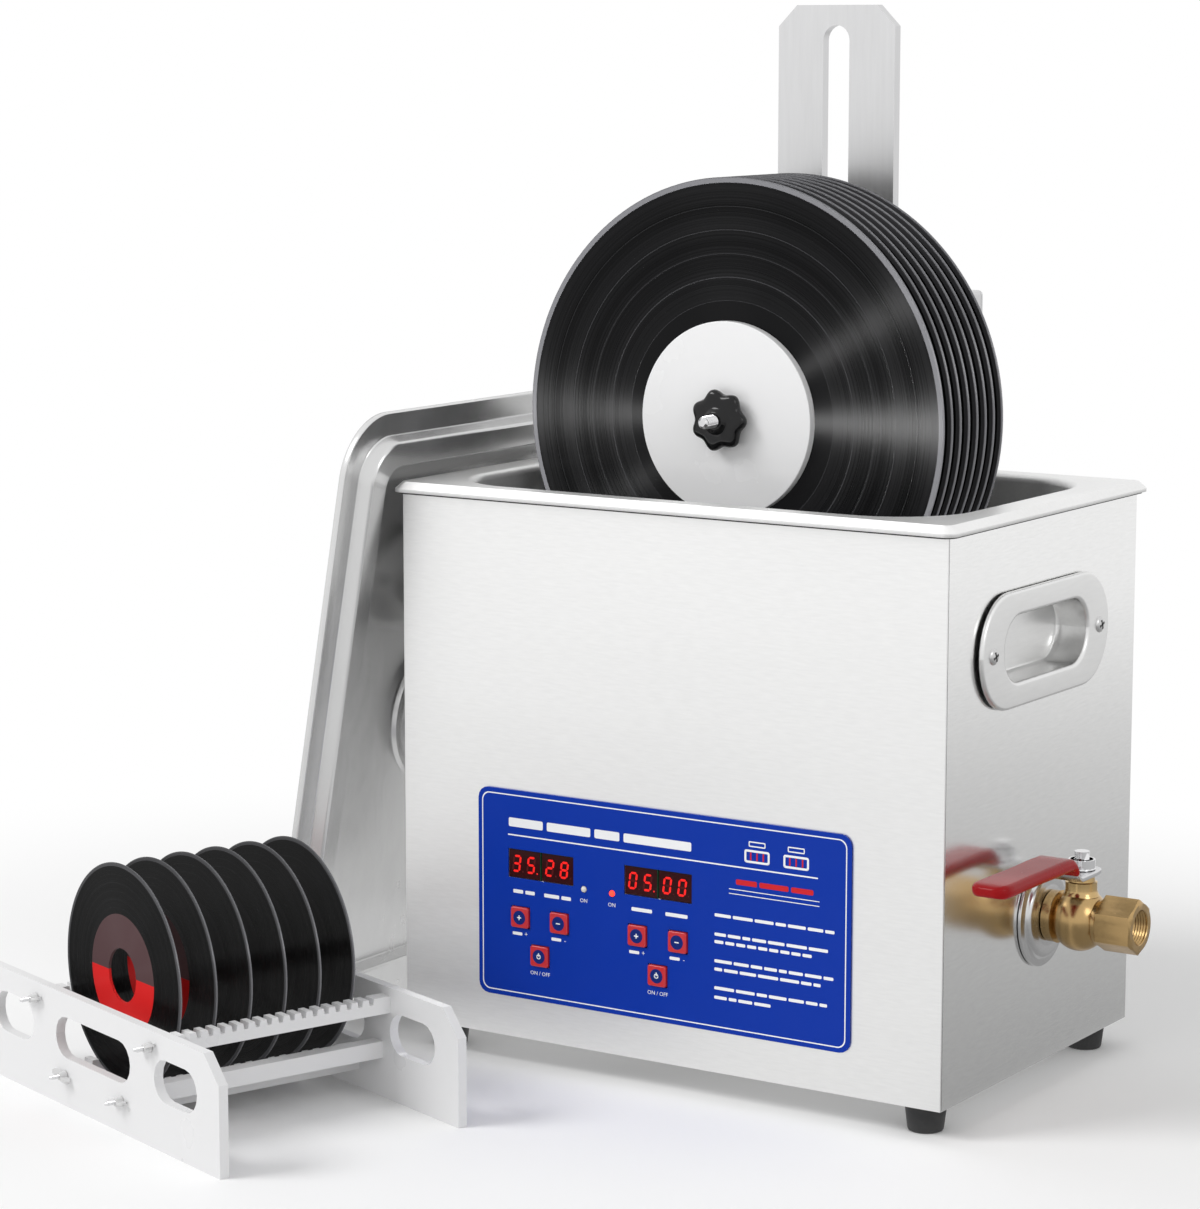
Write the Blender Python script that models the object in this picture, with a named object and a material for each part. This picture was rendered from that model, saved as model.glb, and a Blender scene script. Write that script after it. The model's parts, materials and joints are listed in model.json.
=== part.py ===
# Record cleaning machine: a heated tank in a steel case, with a motorised spindle that hangs
# records in it, its lid leaning on the left side and a rack for small discs beside it.
# Lengths are metres and +Z is up. The machine faces -Y, and its drain valve is on +X.
import math

import bmesh
import bpy
from mathutils import Matrix, Vector

for old in list(bpy.data.objects):
    bpy.data.objects.remove(old, do_unlink=True)

# Place of the machine in the set, chosen so that the whole set is centred on the origin.
MACHINE_X = 0.0555
MACHINE_Y = 0.106

# Clearances shared by every piece.
SEAM = 0.0003
OVERRUN = 0.002

# Steel case.
BODY_WIDTH = 0.317
BODY_DEPTH = 0.210
SHEET = 0.0012
CASE_BEND = 0.0025
FOOT_HEIGHT = 0.015
FOOT_TOP_RADIUS = 0.0105
FOOT_BOTTOM_RADIUS = 0.009
FOOT_INSET = 0.0165
FOOT_CHAMFER = 0.001
VENT_WIDTH = 0.004
VENT_LENGTH = 0.046
VENT_PITCH = 0.0085
VENT_COUNT = 6
BASE_VENT_X = -0.075

# Tank and its rim.
RIM_OVERHANG = 0.0045
RIM_SLOPE = 0.0036
RIM_LIP = 0.0018
RIM_CORNER = 0.006
TANK_SIDE_MARGIN = 0.0220
TANK_FRONT_MARGIN = 0.0172
TANK_CORNER = 0.040
TANK_DEPTH = 0.150
TANK_FLOOR_RISE = 0.135
TANK_DRAFT = 0.003
TANK_EDGE_RADIUS = 0.004
TANK_FLOOR_RADIUS = 0.016
DRAIN_RADIUS = 0.0075

# Under the tank.
TRANSDUCER_HEAD_RADIUS = 0.0225
TRANSDUCER_BODY_RADIUS = 0.0175
TRANSDUCER_HEIGHT = 0.052
TRANSDUCER_LEFT_X = -0.092
TRANSDUCER_RIGHT_X = 0.050
HEATER_LENGTH = 0.084
HEATER_WIDTH = 0.110
HEATER_THICKNESS = 0.002
BOARD_LENGTH = 0.130
BOARD_WIDTH = 0.090
BOARD_THICKNESS = 0.0016
BOARD_RISE = 0.008
BOARD_X = 0.040
POST_RADIUS = 0.0035
COIL_RADIUS = 0.019
COIL_HEIGHT = 0.024
SINK_LENGTH = 0.070
SINK_WIDTH = 0.016
SINK_HEIGHT = 0.030

# Control panel, displays and keys on the front.
PANEL_WIDTH = 0.220
PANEL_HEIGHT = 0.109
PANEL_THICKNESS = 0.0008
PANEL_CORNER = 0.006
PANEL_X = -0.001
PANEL_Z = 0.091
DISPLAY_LENGTH = 0.0395
DISPLAY_HEIGHT = 0.0145
DISPLAY_SPLIT = 0.0012
DISPLAY_LEFT_X = -0.0724
DISPLAY_RIGHT_X = -0.0017
DISPLAY_Z = 0.1072
DISPLAY_SINK = 0.0006
LAMP_RADIUS = 0.0016
LAMP_LEFT_X = -0.0460
LAMP_RIGHT_X = -0.0290
LAMP_Z = 0.0990
KEY_SIDE = 0.0108
KEY_BEVEL = 0.0006
KEY_PROUD = 0.0014
KEY_TRAVEL = 0.0008
KEY_FLANGE = 0.0016
KEY_STEM_SIDE = 0.005
KEY_TOP_Z = 0.0793
KEY_LOW_Z = 0.0603
KEY_GROUP_LEFT_X = -0.0728
KEY_GROUP_RIGHT_X = -0.0015
KEY_SPREAD = 0.0120
PANEL_BOARD_LENGTH = 0.200
PANEL_BOARD_HEIGHT = 0.086
PANEL_BOARD_DEPTH = 0.012

# Flush pull handles on the two sides.
HANDLE_Y = -0.005
HANDLE_DROP = 0.068
HANDLE_LENGTH = 0.140
HANDLE_HEIGHT = 0.058
HANDLE_PROUD = 0.0022
HANDLE_ROLL = 0.0016
CUP_LENGTH = 0.092
CUP_HEIGHT = 0.033
CUP_DEPTH = 0.0145
CUP_ROLL = 0.002

# Drain valve on the right side.
VALVE_DROP = 0.058
FLANGE_RADIUS = 0.0265
FLANGE_STEP_RADIUS = 0.0205
FLANGE_THICKNESS = 0.005
PIPE_RADIUS = 0.0105
PIPE_BORE_RADIUS = 0.0075
ELBOW_X = 0.108
ELBOW_BEND = 0.016
VALVE_LENGTH = 0.049
VALVE_COLLAR_RADIUS = 0.0130
VALVE_BELLY_RADIUS = 0.0158
VALVE_NECK_RADIUS = 0.0118
VALVE_HEX_FLATS = 0.0250
VALVE_HEX_LENGTH = 0.020
OUTLET_RADIUS = 0.0086
OUTLET_DEPTH = 0.015
BALL_RADIUS = 0.0102
BALL_ROOM = 0.0009
BALL_X = 0.0165
BOSS_RADIUS = 0.0080
BOSS_HEIGHT = 0.0225
STEM_RADIUS = 0.0038
NUT_RADIUS = 0.0068
NUT_HEIGHT = 0.0050
STEM_END = 0.0040
STRAP_THICKNESS = 0.0028
STRAP_WIDTH = 0.0170
LEVER_LENGTH = 0.104
LEVER_RISE = 0.010
GRIP_WIDTH = 0.0210
GRIP_THICKNESS = 0.0068

# Power inlet, switch and fan in the back.
BACK_ROW_Z = 0.060
INLET_X = 0.112
INLET_WIDTH = 0.050
INLET_HEIGHT = 0.032
INLET_FLANGE = 0.003
INLET_BODY_WIDTH = 0.030
INLET_BODY_HEIGHT = 0.024
INLET_DEPTH = 0.022
INLET_RIM = 0.002
PIN_WIDTH = 0.002
PIN_HEIGHT = 0.005
PIN_PITCH = 0.007
SWITCH_X = 0.066
SWITCH_WIDTH = 0.030
SWITCH_HEIGHT = 0.022
SWITCH_RIM = 0.0035
SWITCH_DEPTH = 0.018
ROCKER_RADIUS = 0.0095
ROCKER_TILT = math.radians(9)
FAN_X = -0.085
FAN_SIDE = 0.060
FAN_DEPTH = 0.015
FAN_BORE_RADIUS = 0.0275
FAN_HUB_RADIUS = 0.012
FAN_STRUT_WIDTH = 0.004
FAN_BLADE_COUNT = 5
FAN_BLADE_THICKNESS = 0.0015
FAN_BLADE_PITCH = math.radians(35)

# Upright plate and the bracket that clamps it to the rear rim.
SPINDLE_X = -0.009
SPINDLE_RISE = 0.034
BRACKET_WIDTH = 0.088
BRACKET_SHEET = 0.004
BRACKET_CLEAR = 0.0022
BRACKET_DROP = 0.050
BRACKET_BACK_DROP = 0.036
THUMB_RADIUS = 0.008
THUMB_LENGTH = 0.011
THUMB_ROD_RADIUS = 0.003
THUMB_SPREAD = 0.028
MAST_WIDTH = 0.070
MAST_THICKNESS = 0.006
MAST_RISE = 0.243
MAST_CHAMFER = 0.011
SLOT_WIDTH = 0.0158
SLOT_TOP_MARGIN = 0.0105
SLOT_RISE = 0.014

# Sliding box with the motor.
BOX_WIDTH = 0.136
BOX_DEPTH = 0.034
BOX_RISE = 0.0065
BOX_HEIGHT = 0.087
BOX_WALL = 0.0016
GUIDE_HEIGHT = 0.064
GUIDE_SLACK = 0.0005
GUIDE_RISE = 0.023
MOTOR_RADIUS = 0.0245
MOTOR_DEPTH = 0.018
MOTOR_EAR = 0.032
MOTOR_EDGE = 0.002
CLAMP_RISE = 0.042
CLAMP_ROD_RADIUS = 0.0032
CLAMP_KNOB_RADIUS = 0.0140
CLAMP_KNOB_DEPTH = 0.014

# Spindle, discs and their clamp.
FIRST_RECORD_Y = -0.0250
RECORD_PITCH = 0.0090
RECORD_COUNT = 8
RECORD_RADIUS = 0.1225
RECORD_THICKNESS = 0.0019
RECORD_STEPS = 36
SPINDLE_RADIUS = 0.0033
SPACER_RADIUS = 0.018
LABEL_DISC_RADIUS = 0.050
LABEL_DISC_THICKNESS = 0.0052
LABEL_DISC_EDGE = 0.001
COLLAR_RADIUS = 0.010
COLLAR_LENGTH = 0.004
KNOB_RADIUS = 0.0160
KNOB_HUB_RADIUS = 0.0085
KNOB_HUB_LENGTH = 0.003
KNOB_DEPTH = 0.011
KNOB_LOBES = 7
SPINDLE_TIP = 0.011

# Lid, leaning on the left rim.
LID_LENGTH = 0.340
LID_WIDTH = 0.229
LID_SHEET = 0.0012
LID_CORNER = 0.032
LID_HEM = 0.0035
LID_FLANGE = 0.012
LID_FRAME_WIDTH = 0.017
LID_FRAME_SLOPE = 0.003
LID_FRAME_HEIGHT = 0.008
LID_BOWL_RADIUS = 0.043
LID_BOWL_BEAD = 0.005
LID_BOWL_DEPTH = 0.013
LID_LEAN = math.radians(10)
LID_FRONT_Y = -0.139
STRAP_HANDLE_WIDTH = 0.020
STRAP_HANDLE_THICKNESS = 0.003
STRAP_HANDLE_LAP = 0.012

# Disc rack and its small discs.
RACK_X = -0.321
RACK_Y = -0.257
RACK_TURN = math.radians(-20)
RACK_LENGTH = 0.240
RACK_DEPTH = 0.140
RACK_HEIGHT = 0.058
RACK_PLATE = 0.005
RACK_CHAMFER = 0.013
RACK_HOLE_HEIGHT = 0.021
RACK_HOLE_Z = 0.0355
RACK_SIDE_HOLE = 0.040
RACK_END_WEB = 0.020
RACK_INNER_WEB = 0.023
BAR_WIDTH = 0.008
BAR_HEIGHT = 0.0085
LOW_BAR_HEIGHT = 0.0125
TOOTH_PITCH = 0.0066
TOOTH_DEPTH = 0.0030
TOOTH_GAP = 0.0022
TOOTH_SLOPE = 0.0005
SMALL_DISC_RADIUS = 0.056
SMALL_DISC_HOLE = 0.0135
SMALL_DISC_THICKNESS = 0.0014
SMALL_DISC_STEPS = 24
SMALL_DISC_COUNT = 6
SMALL_DISC_TEETH = 3
FIRST_DISC_TOOTH = 2
SMALL_DISC_Z = 0.0702
LOW_BAR_OFFSET = 0.028
HIGH_BAR_Z = 0.0495
TIE_BAR_OFFSET = 0.0495
TIE_BAR_Z = 0.029

# Shares of the size that each shape follows.
STADIUM_SHARE = 0.999
CURVE_NEAR_SHARE = 0.293
HEAD_SHARE = 0.12
HEAD_END_SHARE = 0.45
POST_SHARE = 0.88
BELLY_SHARE = 0.62
BELLY_EDGE_SHARE = 0.93
NECK_SHARE = 0.15
HEX_EDGE_SHARE = 0.04
CAVITY_SHARES = (1, 0.7, 0, -0.7, -1)
BALL_TOP_SHARE = 0.93
BALL_BORE_SHARE = 0.87
LEVER_ROUND_SHARE = 0.42
ROCKER_ROOM_SHARE = 0.35
ROCKER_LIFT_SHARE = 0.8
BLADE_SHARE = 0.9
THUMB_SHARE = 0.7
BOX_CORNER_SHARE = 0.6
EAR_SHARE = 0.9
SOCKET_SHARE = 0.6
KNOB_EDGE_SHARE = 0.16
KNOB_DIP_SHARE = 0.15
LID_CORNER_SHARE = 0.75
BOWL_LIP_SHARE = 1.3
BOWL_FLOOR_SHARE = 2.2
BOWL_EDGE_SHARE = 0.8

# Stations along the valve's lever: place along its length, then width, thickness and rise.
LEVER_STRAP_SHARES = (
    (-0.095, 0.55, 1, 0),
    (-0.060, 0.90, 1, 0),
    (0.150, 1, 1, 0),
    (0.280, 1, 1, 1),
    (0.340, 1, 1, 1),
)
LEVER_GRIP_SHARES = (
    (0.350, 1, 1, 1),
    (0.940, 1, 1, 1),
    (0.985, 0.75, 0.9, 1),
    (1.000, 0.45, 0.7, 1),
)

# Sizes that follow from the ones above.
FRONT_Y = -BODY_DEPTH / 2
BACK_Y = BODY_DEPTH / 2
SIDE_X = BODY_WIDTH / 2
TANK_FLOOR = FOOT_HEIGHT + TANK_FLOOR_RISE
RIM_TOP = TANK_FLOOR + TANK_DEPTH
CASE_TOP = RIM_TOP - SHEET - SEAM
RIM_HALF_WIDTH = SIDE_X + RIM_OVERHANG
RIM_HALF_DEPTH = BACK_Y + RIM_OVERHANG
OPENING_HALF_WIDTH = RIM_HALF_WIDTH - TANK_SIDE_MARGIN
OPENING_HALF_DEPTH = RIM_HALF_DEPTH - TANK_FRONT_MARGIN
UNDER_TANK = TANK_FLOOR - SHEET - SEAM
BASE_TOP = FOOT_HEIGHT + SHEET
PANEL_BACK_Y = FRONT_Y - SEAM
PANEL_FRONT_Y = PANEL_BACK_Y - PANEL_THICKNESS
PANEL_BOARD_Y = FRONT_Y + PANEL_BOARD_DEPTH
VALVE_X = SIDE_X + FLANGE_THICKNESS + 2 * SEAM
BRACKET_FRONT_Y = OPENING_HALF_DEPTH - BRACKET_CLEAR - BRACKET_SHEET
MAST_BACK_Y = BRACKET_FRONT_Y - SEAM
MAST_FRONT_Y = MAST_BACK_Y - MAST_THICKNESS
HANDLE_Z = RIM_TOP - HANDLE_DROP
VALVE_Z = TANK_FLOOR - VALVE_DROP
SPINDLE_Z = RIM_TOP + SPINDLE_RISE
MAST_BOTTOM = RIM_TOP - BRACKET_DROP
MAST_TOP = RIM_TOP + MAST_RISE
SLOT_BOTTOM = RIM_TOP + SLOT_RISE
BOX_BOTTOM = RIM_TOP + BOX_RISE
BOX_TOP = BOX_BOTTOM + BOX_HEIGHT
GUIDE_REST = RIM_TOP + GUIDE_RISE
BOX_FRONT_Y = MAST_BACK_Y + SEAM
BOX_BACK_Y = BOX_FRONT_Y + BOX_DEPTH
LAST_RECORD_Y = FIRST_RECORD_Y + (RECORD_COUNT - 1) * RECORD_PITCH
KEY_PLACES = [
    (KEY_GROUP_LEFT_X - KEY_SPREAD, KEY_TOP_Z),
    (KEY_GROUP_LEFT_X + KEY_SPREAD, KEY_TOP_Z),
    (KEY_GROUP_LEFT_X, KEY_LOW_Z),
    (KEY_GROUP_RIGHT_X - KEY_SPREAD, KEY_TOP_Z),
    (KEY_GROUP_RIGHT_X + KEY_SPREAD, KEY_TOP_Z),
    (KEY_GROUP_RIGHT_X, KEY_LOW_Z),
]
RACK_SIDE_HOLE_OFFSET = RACK_LENGTH / 2 - RACK_END_WEB - RACK_SIDE_HOLE / 2
RACK_MIDDLE_HOLE = 2 * (RACK_SIDE_HOLE_OFFSET - RACK_SIDE_HOLE / 2 - RACK_INNER_WEB)
HIGH_BAR_TOP = HIGH_BAR_Z + BAR_HEIGHT / 2
LOW_BAR_INSIDE = LOW_BAR_OFFSET - BAR_WIDTH / 2
LOW_BAR_DROP = math.sqrt((SMALL_DISC_RADIUS + SEAM) ** 2 - LOW_BAR_INSIDE**2)
LOW_BAR_TOP = SMALL_DISC_Z - LOW_BAR_DROP + TOOTH_DEPTH
HIGH_BAR_FALL = SMALL_DISC_Z - HIGH_BAR_TOP + TOOTH_DEPTH
HIGH_BAR_OFFSET = math.sqrt(SMALL_DISC_RADIUS**2 - HIGH_BAR_FALL**2) + BAR_WIDTH / 2 + SEAM

# Turns a piece built along Z so that it points along another axis. UPRIGHT_SIDE also keeps a
# plate's outline upright, with its first direction along Y.
ALONG_X = Matrix.Rotation(math.radians(90), 4, "Y")
ALONG_Y = Matrix.Rotation(math.radians(-90), 4, "X")
ALONG_FRONT = Matrix.Rotation(math.radians(90), 4, "X")
UPRIGHT_SIDE = Matrix(((0, 0, 1, 0), (1, 0, 0, 0), (0, 1, 0, 0), (0, 0, 0, 1)))


# Helpers shared by the pieces.
def material(name, colour, metal, roughness):
    found = bpy.data.materials.new(name)
    found.use_nodes = True
    shader = found.node_tree.nodes["Principled BSDF"]
    shader.inputs["Base Color"].default_value = (*colour, 1)
    shader.inputs["Metallic"].default_value = metal
    shader.inputs["Roughness"].default_value = roughness
    found.diffuse_color = (*colour, 1)
    return found


STEEL = ((0.78, 0.78, 0.79), 1.0, 0.3)
POLISHED = ((0.82, 0.82, 0.83), 1.0, 0.12)
ALUMINIUM = ((0.80, 0.81, 0.82), 1.0, 0.35)
BRASS = ((0.72, 0.50, 0.20), 1.0, 0.3)
CHROME = ((0.85, 0.85, 0.86), 1.0, 0.08)
RUBBER = ((0.03, 0.03, 0.03), 0.0, 0.7)
BLACK = ((0.02, 0.02, 0.02), 0.0, 0.3)
VINYL = ((0.015, 0.015, 0.016), 0.0, 0.2)
WHITE = ((0.88, 0.88, 0.87), 0.0, 0.35)
RED = ((0.65, 0.02, 0.03), 0.0, 0.35)
BLUE = ((0.01, 0.05, 0.45), 0.0, 0.4)
GREEN = ((0.03, 0.22, 0.10), 0.0, 0.5)
GREY = ((0.35, 0.35, 0.36), 0.0, 0.5)


def place(obj, x, y, z):
    obj.location = (MACHINE_X + x, MACHINE_Y + y, z)


def finished(name, mesh_data, look, turn=None, smooth=None):
    """Turns a bmesh into a named object with its own material."""
    bmesh.ops.recalc_face_normals(mesh_data, faces=mesh_data.faces)
    if turn is not None:
        bmesh.ops.transform(mesh_data, matrix=turn, verts=mesh_data.verts)
    mesh = bpy.data.meshes.new(name)
    mesh_data.to_mesh(mesh)
    mesh_data.free()
    obj = bpy.data.objects.new(name, mesh)
    bpy.context.scene.collection.objects.link(obj)
    if look is not None:
        mesh.materials.append(material(name, *look))
    if smooth is not None:
        mesh.shade_smooth()
        mesh.set_sharp_from_angle(angle=smooth)
    return obj


SMOOTH = math.radians(35)


def copy_of(obj, name, look):
    twin = bpy.data.objects.new(name, obj.data)
    bpy.context.scene.collection.objects.link(twin)
    twin.rotation_euler = obj.rotation_euler
    own = material(name, *look)
    twin.material_slots[0].link = "OBJECT"
    twin.material_slots[0].material = own
    return twin


def hidden(obj):
    obj.hide_render = True
    obj.display_type = "WIRE"
    return obj


def combine(obj, tool, operation):
    """Cuts the hidden tool out of the object, or joins it on."""
    step = obj.modifiers.new(operation.lower(), "BOOLEAN")
    step.operation = operation
    step.solver = "EXACT"
    step.use_self = operation == "UNION"
    step.object = hidden(tool)


def ring(radius, steps, height=0.0):
    turn = [2 * math.pi * i / steps for i in range(steps)]
    return [Vector((radius * math.cos(a), radius * math.sin(a), height)) for a in turn]


def rounded(half_x, half_y, corner, steps, height=0.0):
    """A rectangle's outline with round corners, counter-clockwise from the +X side."""
    points = []
    for quarter, (sx, sy) in enumerate(((1, 1), (-1, 1), (-1, -1), (1, -1))):
        for i in range(steps + 1):
            a = math.radians(90) * (quarter + i / steps)
            x = sx * (half_x - corner) + corner * math.cos(a)
            y = sy * (half_y - corner) + corner * math.sin(a)
            points.append(Vector((x, y, height)))
    return points


def loft(loops, cap_start=True, cap_end=True, closed=False):
    """Skins a row of loops with equal point counts, closing the ends or joining last to first."""
    built = bmesh.new()
    rows = [[built.verts.new(p) for p in loop] for loop in loops]
    pairs = list(zip(rows, rows[1:]))
    if closed:
        pairs.append((rows[-1], rows[0]))
    count = len(rows[0])
    for low, high in pairs:
        for i in range(count):
            j = (i + 1) % count
            built.faces.new((low[i], low[j], high[j], high[i]))
    if cap_start and not closed:
        built.faces.new(list(reversed(rows[0])))
    if cap_end and not closed:
        built.faces.new(rows[-1])
    return built


def turned(profile, steps, closed=False):
    """Turns (radius, height) points about Z. A closed profile leaves a bore."""
    return loft([ring(r, steps, h) for r, h in profile], closed=closed)


def plate(outline, thickness):
    """Raises a flat outline in XY to a plate, with the extrude tool."""
    built = bmesh.new()
    face = built.faces.new([built.verts.new((x, y, 0)) for x, y in outline])
    raised = bmesh.ops.extrude_face_region(built, geom=[face])
    moved = [v for v in raised["geom"] if isinstance(v, bmesh.types.BMVert)]
    bmesh.ops.translate(built, vec=(0, 0, thickness), verts=moved)
    return built


def block(built, low, high):
    """Adds a box between two corners to a bmesh."""
    size = [b - a for a, b in zip(low, high)]
    middle = [(a + b) / 2 for a, b in zip(low, high)]
    frame = Matrix.Translation(middle) @ Matrix.Diagonal((*size, 1))
    bmesh.ops.create_cube(built, size=1, matrix=frame)


def rod(built, radius, steps, start, end):
    """Adds a round rod between two points to a bmesh."""
    start, end = Vector(start), Vector(end)
    span = end - start
    turn = span.to_track_quat("Z", "Y").to_matrix().to_4x4()
    frame = Matrix.Translation((start + end) / 2) @ turn
    bmesh.ops.create_cone(
        built, cap_ends=True, segments=steps, radius1=radius, radius2=radius, depth=span.length, matrix=frame
    )


def stadium(length, height, steps, level=0.0):
    return rounded(length / 2, height / 2, height / 2 * STADIUM_SHARE, steps, level)


def as_pairs(points):
    return [(p.x, p.y) for p in points]


def pressed(name, loops, thickness, look, turn=None, cap=True):
    """A pressed sheet: the seen surface is skinned, then Solidify gives it its thickness behind."""
    obj = finished(name, loft(loops, cap_start=False, cap_end=cap), look, turn, SMOOTH)
    thicken(obj, thickness)
    return obj


def thicken(obj, thickness):
    skin = obj.modifiers.new("thickness", "SOLIDIFY")
    skin.thickness = thickness
    skin.offset = -1
    skin.use_even_offset = True
    skin.use_rim = True


# Case: base plate, wrap of sides and back, front sheet and four feet.
def base_plate():
    half_x = SIDE_X - SHEET - SEAM
    low_y = FRONT_Y + SHEET + SEAM
    high_y = BACK_Y - SHEET - SEAM
    cut = CASE_BEND
    outline = [(-half_x, low_y), (half_x, low_y), (half_x, high_y - cut), (half_x - cut, high_y)]
    outline += [(cut - half_x, high_y), (-half_x, high_y - cut)]
    obj = finished("base_plate", plate(outline, SHEET), STEEL)
    slots = bmesh.new()
    for i in range(VENT_COUNT):
        x = BASE_VENT_X + (i - (VENT_COUNT - 1) / 2) * VENT_PITCH
        block(
            slots,
            (x - VENT_WIDTH / 2, -VENT_LENGTH / 2, FOOT_HEIGHT - OVERRUN),
            (x + VENT_WIDTH / 2, VENT_LENGTH / 2, BASE_TOP + OVERRUN),
        )
    vents = finished("base_vents", slots, None)
    place(vents, 0, 0, 0)
    place(obj, 0, 0, FOOT_HEIGHT)
    combine(obj, vents, "DIFFERENCE")


def casing_wrap():
    front = FRONT_Y + SHEET + SEAM
    bend = [(math.cos(math.radians(a)), math.sin(math.radians(a))) for a in (90, 60, 30, 0)]
    middle_x, middle_y = SIDE_X - CASE_BEND, BACK_Y - CASE_BEND
    tight = CASE_BEND - SHEET
    outer = [(middle_x + CASE_BEND * s, middle_y + CASE_BEND * c) for c, s in reversed(bend)]
    inner = [(middle_x + tight * s, middle_y + tight * c) for c, s in reversed(bend)]
    right_outer = [(SIDE_X, front)] + list(reversed(outer))
    right_inner = [(SIDE_X - SHEET, front)] + list(reversed(inner))
    left_outer = [(-x, y) for x, y in reversed(right_outer)]
    left_inner = [(-x, y) for x, y in right_inner]
    outline = right_outer + left_outer + left_inner + list(reversed(right_inner))
    obj = finished("casing_wrap", plate(outline, CASE_TOP - FOOT_HEIGHT), STEEL)
    place(obj, 0, 0, FOOT_HEIGHT)

    room = SHEET + SEAM
    cup = stadium(CUP_LENGTH + 2 * room, CUP_HEIGHT + 2 * room, 3)
    sides = finished("handle_cuts", plate(as_pairs(cup), BODY_WIDTH + 2 * OVERRUN), None, UPRIGHT_SIDE)
    place(sides, -SIDE_X - OVERRUN, HANDLE_Y, HANDLE_Z)
    combine(obj, sides, "DIFFERENCE")

    cuts = bmesh.new()
    rod(cuts, PIPE_RADIUS + SEAM, 24, (SIDE_X - OVERRUN - SHEET, 0, VALVE_Z), (SIDE_X + OVERRUN, 0, VALVE_Z))
    low_y, high_y = BACK_Y - SHEET - OVERRUN, BACK_Y + OVERRUN
    for x, width, height in (
        (INLET_X, INLET_BODY_WIDTH, INLET_BODY_HEIGHT),
        (SWITCH_X, SWITCH_WIDTH - 2 * SWITCH_RIM, SWITCH_HEIGHT - SWITCH_RIM),
    ):
        half_x, half_z = width / 2 + SEAM, height / 2 + SEAM
        block(cuts, (x - half_x, low_y, BACK_ROW_Z - half_z), (x + half_x, high_y, BACK_ROW_Z + half_z))
    for i in range(VENT_COUNT):
        x = FAN_X + (i - (VENT_COUNT - 1) / 2) * VENT_PITCH
        half_z = VENT_LENGTH / 2
        block(
            cuts,
            (x - VENT_WIDTH / 2, low_y, BACK_ROW_Z - half_z),
            (x + VENT_WIDTH / 2, high_y, BACK_ROW_Z + half_z),
        )
    others = finished("casing_cuts", cuts, None)
    place(others, 0, 0, 0)
    combine(obj, others, "DIFFERENCE")


def window_cuts(name, low_y, high_y):
    """Display windows, lamp holes and key holes, cut through whatever spans the given depth."""
    cuts = bmesh.new()
    for x in (DISPLAY_LEFT_X, DISPLAY_RIGHT_X):
        half_x, half_z = DISPLAY_LENGTH / 2 + SEAM, DISPLAY_HEIGHT / 2 + SEAM
        block(cuts, (x - half_x, low_y, DISPLAY_Z - half_z), (x + half_x, high_y, DISPLAY_Z + half_z))
    for x in (LAMP_LEFT_X, LAMP_RIGHT_X):
        rod(cuts, LAMP_RADIUS + SEAM, 8, (x, low_y, LAMP_Z), (x, high_y, LAMP_Z))
    half = KEY_SIDE / 2 + SEAM
    for x, z in KEY_PLACES:
        block(cuts, (x - half, low_y, z - half), (x + half, high_y, z + half))
    tool = finished(name, cuts, None)
    place(tool, 0, 0, 0)
    return tool


def front_panel():
    sheet = bmesh.new()
    block(sheet, (-SIDE_X, FRONT_Y, FOOT_HEIGHT), (SIDE_X, FRONT_Y + SHEET, CASE_TOP))
    obj = finished("front_panel", sheet, STEEL)
    place(obj, 0, 0, 0)
    combine(obj, window_cuts("front_cuts", FRONT_Y - OVERRUN, FRONT_Y + SHEET + OVERRUN), "DIFFERENCE")


def feet():
    top = FOOT_HEIGHT - SEAM
    profile = [
        (FOOT_BOTTOM_RADIUS - FOOT_CHAMFER, 0),
        (FOOT_BOTTOM_RADIUS, FOOT_CHAMFER),
        (FOOT_TOP_RADIUS, top),
    ]
    first = finished("foot_front_left", turned(profile, 14), RUBBER, None, SMOOTH)
    x, y = SIDE_X - FOOT_INSET, BACK_Y - FOOT_INSET
    place(first, -x, -y, 0)
    for name, px, py in (("foot_front_right", x, -y), ("foot_back_left", -x, y), ("foot_back_right", x, y)):
        place(copy_of(first, name, RUBBER), px, py, 0)


# Tank: one pressed sheet from the floor over the rolled rim.
def tank():
    loops = []
    steps = 4

    def rim(inset, corner, level):
        loops.append(rounded(RIM_HALF_WIDTH - inset, RIM_HALF_DEPTH - inset, corner, steps, RIM_TOP + level))

    def add(inset, corner, level):
        loops.append(
            rounded(OPENING_HALF_WIDTH - inset, OPENING_HALF_DEPTH - inset, corner, steps, RIM_TOP + level)
        )

    edge, curve = TANK_EDGE_RADIUS, TANK_FLOOR_RADIUS
    near_edge, near_curve = edge * CURVE_NEAR_SHARE, curve * CURVE_NEAR_SHARE
    rim(0, RIM_CORNER, -RIM_SLOPE - RIM_LIP)
    rim(0, RIM_CORNER, -RIM_SLOPE)
    rim(RIM_SLOPE, RIM_CORNER - RIM_SLOPE, 0)
    add(-edge, TANK_CORNER + edge, 0)
    add(-near_edge, TANK_CORNER + near_edge, -near_edge)
    add(0, TANK_CORNER, -edge)
    add(TANK_DRAFT, TANK_CORNER, curve - TANK_DEPTH)
    add(TANK_DRAFT + near_curve, TANK_CORNER - near_curve, near_curve - TANK_DEPTH)
    add(TANK_DRAFT + curve, TANK_CORNER - curve, -TANK_DEPTH)
    obj = pressed("tank", loops, SHEET, STEEL)
    place(obj, 0, 0, 0)
    hole = bmesh.new()
    low, high = TANK_FLOOR - SHEET - OVERRUN, TANK_FLOOR + OVERRUN
    rod(hole, DRAIN_RADIUS, 16, (ELBOW_X, 0, low), (ELBOW_X, 0, high))
    drain = finished("drain_cut", hole, None)
    place(drain, 0, 0, 0)
    combine(obj, drain, "DIFFERENCE")


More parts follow.
